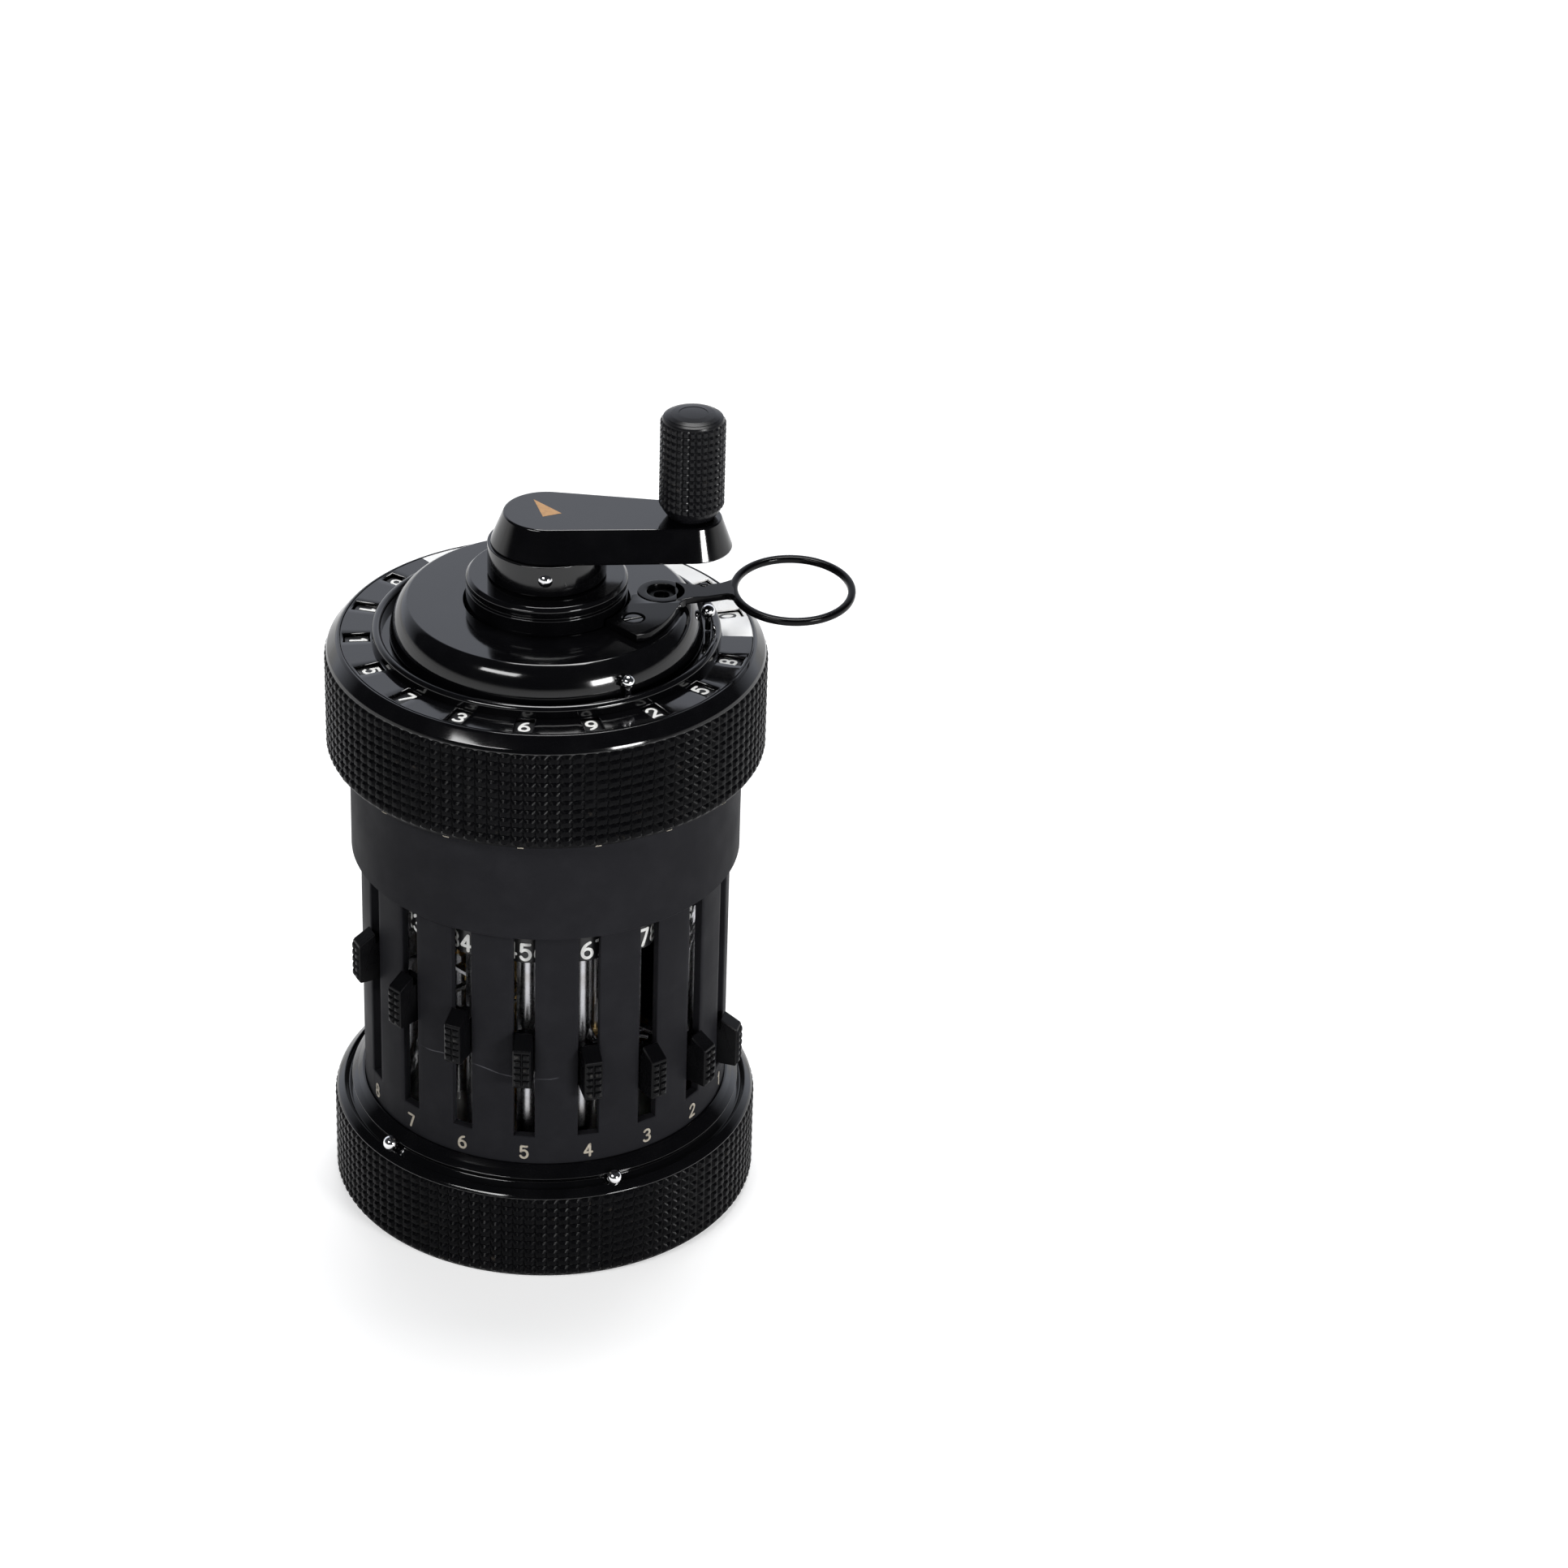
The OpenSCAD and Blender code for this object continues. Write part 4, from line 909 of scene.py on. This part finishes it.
# Setting shafts: a spiral groove below, and the drum with its figures at the top.
SHAFT_LOW, SHAFT_TOP, DRUM_LOW, DRUM_TOP = 13.6, 42.6, 42.5, 47.2
SPIRAL_LEAD, GROOVE_HALF, GROOVE_DEPTH = 20.0, 0.62, 0.45
SHAFT_COLUMNS, DRUM_FIGURES_Z = 48, 44.0
SHAFT_FOOT_Z, SHAFT_HEAD_Z, SHAFT_END_R = 11.5, 58.5, 0.6
# Width, height and stroke of the figures on the drums, the dials and the body.
DRUM_FIGURE, DIAL_FIGURE, PLACE_FIGURE = (1.6, 2.5, 0.4), (1.45, 2.2, 0.36), (1.2, 1.95, 0.28)


def shaft_parts(p):
    az = place_az(p)
    out, side = axes(az)
    centre = tuple(out[:2] * SETTING_AT)
    angles = np.arange(SHAFT_COLUMNS) * TAU / SHAFT_COLUMNS
    rows = [(0.0, SHAFT_FOOT_Z), (SHAFT_END_R, SHAFT_FOOT_Z), (SHAFT_END_R, SHAFT_LOW),
            (SHAFT_R - 0.1, SHAFT_LOW)]
    for z in np.arange(SHAFT_LOW + 0.1, SHAFT_TOP, 0.3):
        middle = math.radians(az) + TAU * (z - slider_z(p)) / SPIRAL_LEAD
        off = (angles - middle + math.pi) % TAU - math.pi
        dip = np.clip((GROOVE_HALF - np.abs(off)) / 0.2, 0.0, 1.0)
        rows.append((SHAFT_R - GROOVE_DEPTH * dip, z))
    rows += [(SHAFT_R, SHAFT_TOP), (SHAFT_END_R, SHAFT_TOP), (SHAFT_END_R, SHAFT_HEAD_Z),
             (0.0, SHAFT_HEAD_Z)]
    parts = [plain(lathe(rows, SHAFT_COLUMNS, centre), STEEL)]
    drum = round_corners([(SHAFT_END_R, DRUM_LOW), (DRUM_R, DRUM_LOW), (DRUM_R, DRUM_TOP),
                          (SHAFT_END_R, DRUM_TOP)], [0, 0.1, 0.1, 0])
    parts.append(plain(lathe(drum, 64, centre), DIAL_BLACK))
    middle = np.array([*centre, DRUM_FIGURES_Z])
    for k in range(DIGITS):
        surface = drum_surface(middle, out, side, DRUM_R, DIGIT_TURN * (k - (DIGITS - p)))
        parts.append(figure(k, *DRUM_FIGURE, surface, WHITE_INK))
    return parts


for p in range(1, PLACES + 1):
    make_piece(f"setting_shaft_spiral_{p}", shaft_parts(p), f"setting_shaft_{p}",
               [f"setting_shaft_{p}"])

# Number dials: drum, axle, pinion and figures.
AXLE_R, AXLE_IN, PINION_OUT, DIAL_EDGE = 0.6, 10.4, 12.6, 0.15


def dial_parts(az, first, paint, figure_ink):
    """A dial whose drum shows the first figure at its top."""
    out, side = axes(az)

    def along(points):
        """Lays points made round an upright axis along the dial's axle, with their height outwards."""
        return points[:, :1] * side + points[:, 1:2] * UP + points[:, 2:] * out + UP * DIAL_Z

    rows = [(0.0, AXLE_IN), (AXLE_R, AXLE_IN), (AXLE_R, DIAL_IN), (DIAL_R - DIAL_EDGE, DIAL_IN),
            (DIAL_R, DIAL_IN + DIAL_EDGE), (DIAL_R, DIAL_OUT - DIAL_EDGE), (DIAL_R - DIAL_EDGE, DIAL_OUT),
            (0.0, DIAL_OUT)]
    points, faces = lathe(rows, 80)
    parts = [plain((along(points), faces), paint)]
    pinion = [[(x, y, r) for x, y in gear_outline(GEAR_TEETH, 1.05, 1.5)] for r in (AXLE_IN, PINION_OUT)]
    points, faces = loft(pinion)
    parts.append(plain((along(points), faces), BRASS))
    for k in range(DIGITS):
        surface = dial_surface(az, DIGIT_TURN * k)
        parts.append(figure((first + k) % DIGITS, *DIAL_FIGURE, surface, figure_ink))
    return parts


SHOWN = {11: 6, 10: 1, 9: 1, 8: 5, 7: 7, 6: 3, 5: 6, 4: 9, 3: 2, 2: 5, 1: 8}
for p in range(1, RESULTS + 1):
    make_piece(f"result_drum_{p}", dial_parts(place_az(p), SHOWN[p], DIAL_BLACK, WHITE_INK),
               f"result_dial_{p}", [f"result_dial_{p}"])
for n in range(1, COUNTERS + 1):
    make_piece(f"counter_drum_{n}", dial_parts(counter_az(n), 0, DIAL_WHITE, BLACK_INK), f"counter_dial_{n}",
               [f"counter_dial_{n}"])

# Place numbers on the body and index marks under the carriage's edge.
PLACE_Z, INDEX_AT, INDEX_Z = 16.15, 26.0, CARRIAGE_Z + 0.12
INDEX_MARK = ((-0.35, -0.08), (0.35, -0.08), (0.35, 0.1), (-0.35, 0.1))
place_figures = []
for p in range(1, PLACES + 1):
    out, side = axes(place_az(p))
    surface = drum_surface(UP * PLACE_Z, out, side, BODY_R, 0.0)
    place_figures.append(figure(p, *PLACE_FIGURE, surface, CREAM_INK))
make_piece("place_numbers", place_figures, "chassis")
marks = []
for p in range(1, RESULTS + 1):
    out, side = axes(place_az(p))
    loops = [[side * x + out * (INDEX_AT + y + lift) + UP * (INDEX_Z + y - lift) for x, y in INDEX_MARK]
             for lift in (-0.1, 0.05)]
    marks.append(plain(loft(loops), CREAM_INK))
make_piece("carriage_index_marks", marks, "carriage")

# Reversing slider at the back.
back_out, back_side = axes(REVERSE_AZ)
BACK_Z = REVERSE_LOW + 1.7
back_profile = [(20.6, -1.25), (25.1, -1.05), (25.3, -0.8), (25.3, 0.8), (25.1, 1.05), (20.6, 1.25)]


def back_at(x, y, across):
    return back_out * x + UP * (BACK_Z + y) + back_side * across


reverse_parts = [plain(slab(back_profile, -1.1, 1.1, 0.15, back_at), BRIGHT),
                 box_part(REVERSE_AZ, (-2.1, 20.6, BACK_Z - 1.9), (2.1, 21.28, BACK_Z + 1.9), 0.06, STEEL)]
make_piece("reversing_knob", reverse_parts, "reversing", ["reversing_slider"])

# The nodes that keep their own shape get these finishes.
kept = {"lower_frame": ALLOY, "upper_frame": ALLOY, "carriage_spring": STEEL, "transmission_shafts": STEEL,
        "ratchet_wheel": BRASS, "main_shaft": STEEL, "step_drum": BRASS, "knob_spindle": STEEL,
        "spring_cup": STEEL, "carriage_frame": ALLOY}
for name, material in kept.items():
    mesh = nodes[name].data
    mesh.materials.clear()
    mesh.materials.append(material)

# Floor, light and camera.
floor_mesh = bpy.data.meshes.new("floor")
FLOOR_HALF, FLOOR_Z = 6.0, -0.00005
floor_corners = [(x * FLOOR_HALF, y * FLOOR_HALF, FLOOR_Z) for x, y in ((-1, -1), (1, -1), (1, 1), (-1, 1))]
floor_mesh.from_pydata(floor_corners, [], [(0, 1, 2, 3)])
floor = bpy.data.objects.new("floor", floor_mesh)
bpy.context.scene.collection.objects.link(floor)
floor_paint, floor_tree, floor_shader, floor_vector = material_base("pale_floor")
floor_clouds = noise(floor_tree, floor_vector, 3.0)
floor_color = mix_color(floor_tree, floor_clouds, (0.78, 0.78, 0.78), (0.82, 0.82, 0.82))
floor_tree.links.new(floor_color, floor_shader.inputs["Base Color"])
floor_shader.inputs["Roughness"].default_value = 1.0
floor_shader.inputs["Specular IOR Level"].default_value = 0.0
# Seen straight, in a reflection or through something, the floor is white, and keeps the soft shadow.
paths = floor_tree.nodes.new("ShaderNodeLightPath").outputs
seen = paths["Is Camera Ray"]
for ray in ("Is Glossy Ray", "Is Transmission Ray"):
    seen = reckon(floor_tree, "MAXIMUM", seen, paths[ray])
matt = floor_tree.nodes.new("ShaderNodeBsdfDiffuse")
matt.inputs["Color"].default_value = (0.7, 0.7, 0.7, 1.0)
glow = floor_tree.nodes.new("ShaderNodeEmission")
# Far from the object, where the lamps do not reach, the floor glows up to white.
floor_place = floor_tree.nodes.new("ShaderNodeNewGeometry")
floor_reach = floor_tree.nodes.new("ShaderNodeVectorMath")
floor_reach.operation = "LENGTH"
floor_tree.links.new(floor_place.outputs["Position"], floor_reach.inputs[0])
NEAR, FAR, NEAR_GLOW, FAR_GLOW = 0.3, 1.0, 0.48, 1.0
floor_tree.links.new(remap(floor_tree, floor_reach.outputs["Value"], NEAR, FAR, NEAR_GLOW, FAR_GLOW),
                     glow.inputs["Strength"])
white = floor_tree.nodes.new("ShaderNodeAddShader")
floor_tree.links.new(matt.outputs["BSDF"], white.inputs[0])
floor_tree.links.new(glow.outputs["Emission"], white.inputs[1])
choice = floor_tree.nodes.new("ShaderNodeMixShader")
floor_tree.links.new(seen, choice.inputs["Fac"])
floor_tree.links.new(floor_shader.outputs["BSDF"], choice.inputs[1])
floor_tree.links.new(white.outputs["Shader"], choice.inputs[2])
floor_tree.links.new(choice.outputs["Shader"], floor_tree.nodes["Material Output"].inputs["Surface"])
floor_mesh.materials.append(floor_paint)

world = bpy.data.worlds.new("studio")
bpy.context.scene.world = world
world.use_nodes = True
world_tree = world.node_tree
background = world_tree.nodes["Background"]
direction = world_tree.nodes.new("ShaderNodeTexCoord")
towards = world_tree.nodes.new("ShaderNodeVectorMath")
towards.operation = "DOT_PRODUCT"
towards.inputs[1].default_value = (-0.06, -0.92, 0.38)
world_tree.links.new(direction.outputs["Generated"], towards.inputs[0])
FRONT_LIGHT, BACK_LIGHT = 0.04, 1.2
world_tree.links.new(remap(world_tree, towards.outputs["Value"], -0.6, -0.25, BACK_LIGHT, FRONT_LIGHT),
                     background.inputs["Strength"])
background.inputs["Color"].default_value = (0.86, 0.9, 1.0, 1.0)
# Seen straight or through something the world is white, and reflections see it white near the horizon.
world_paths = world_tree.nodes.new("ShaderNodeLightPath").outputs
height = world_tree.nodes.new("ShaderNodeSeparateXYZ")
world_tree.links.new(direction.outputs["Generated"], height.inputs[0])
near_horizon = remap(world_tree, height.outputs["Z"], 0.04, 0.12, 1.0, 0.0)
shown = reckon(world_tree, "MULTIPLY", near_horizon, world_paths["Is Glossy Ray"])
for ray in ("Is Camera Ray", "Is Transmission Ray"):
    shown = reckon(world_tree, "MAXIMUM", shown, world_paths[ray])
white_sky = world_tree.nodes.new("ShaderNodeBackground")
white_sky.inputs["Color"].default_value = (1.0, 1.0, 1.0, 1.0)
sky = world_tree.nodes.new("ShaderNodeMixShader")
world_tree.links.new(shown, sky.inputs["Fac"])
world_tree.links.new(background.outputs["Background"], sky.inputs[1])
world_tree.links.new(white_sky.outputs["Background"], sky.inputs[2])
world_tree.links.new(sky.outputs["Shader"], world_tree.nodes["World Output"].inputs["Surface"])


LAMP_DISTANCE = 0.7


def lamp(name, az, elevation, width, height, watts):
    """A soft lamp that faces the middle of the object."""
    out, _ = axes(az)
    e = math.radians(elevation)
    aim = Vector((0.0, 0.0, 0.05))
    data = bpy.data.lights.new(name, "AREA")
    data.shape = "RECTANGLE"
    data.size, data.size_y = width, height
    data.energy = watts
    obj = bpy.data.objects.new(name, data)
    obj.location = aim + Vector(out * math.cos(e) + UP * math.sin(e)) * LAMP_DISTANCE
    obj.rotation_euler = (aim - obj.location).to_track_quat("-Z", "Y").to_euler()
    bpy.context.scene.collection.objects.link(obj)


lamp("lamp_left", -42.0, 41.0, 0.3, 0.12, 1.9)
lamp("lamp_right", 36.0, 14.0, 0.18, 0.12, 3.0)
lamp("lamp_over", 165.0, 72.0, 0.3, 0.3, 4.0)

HEADING, PITCH_DOWN, ROLL, LENS = math.radians(7.11), math.radians(30.12), 0.0351, 100.63
CAMERA_PLACE = np.array([-28.3, -460.2, 323.0]) * MM
forward = np.array([math.sin(HEADING) * math.cos(PITCH_DOWN), math.cos(HEADING) * math.cos(PITCH_DOWN),
                    -math.sin(PITCH_DOWN)])
right = np.array([math.cos(HEADING), -math.sin(HEADING), 0.0])
over = np.cross(right, forward)
tilted_right = right * math.cos(ROLL) + over * math.sin(ROLL)
tilted_up = -right * math.sin(ROLL) + over * math.cos(ROLL)
camera_data = bpy.data.cameras.new("camera")
camera_data.lens = LENS
camera_data.sensor_width = 36.0
camera_data.clip_start, camera_data.clip_end = 0.01, 50.0
camera = bpy.data.objects.new("camera", camera_data)
turn = Matrix((tilted_right, tilted_up, -forward)).transposed()
camera.matrix_world = Matrix.Translation(CAMERA_PLACE) @ turn.to_4x4()
bpy.context.scene.collection.objects.link(camera)
bpy.context.scene.camera = camera
bpy.context.scene.view_settings.view_transform = "Standard"
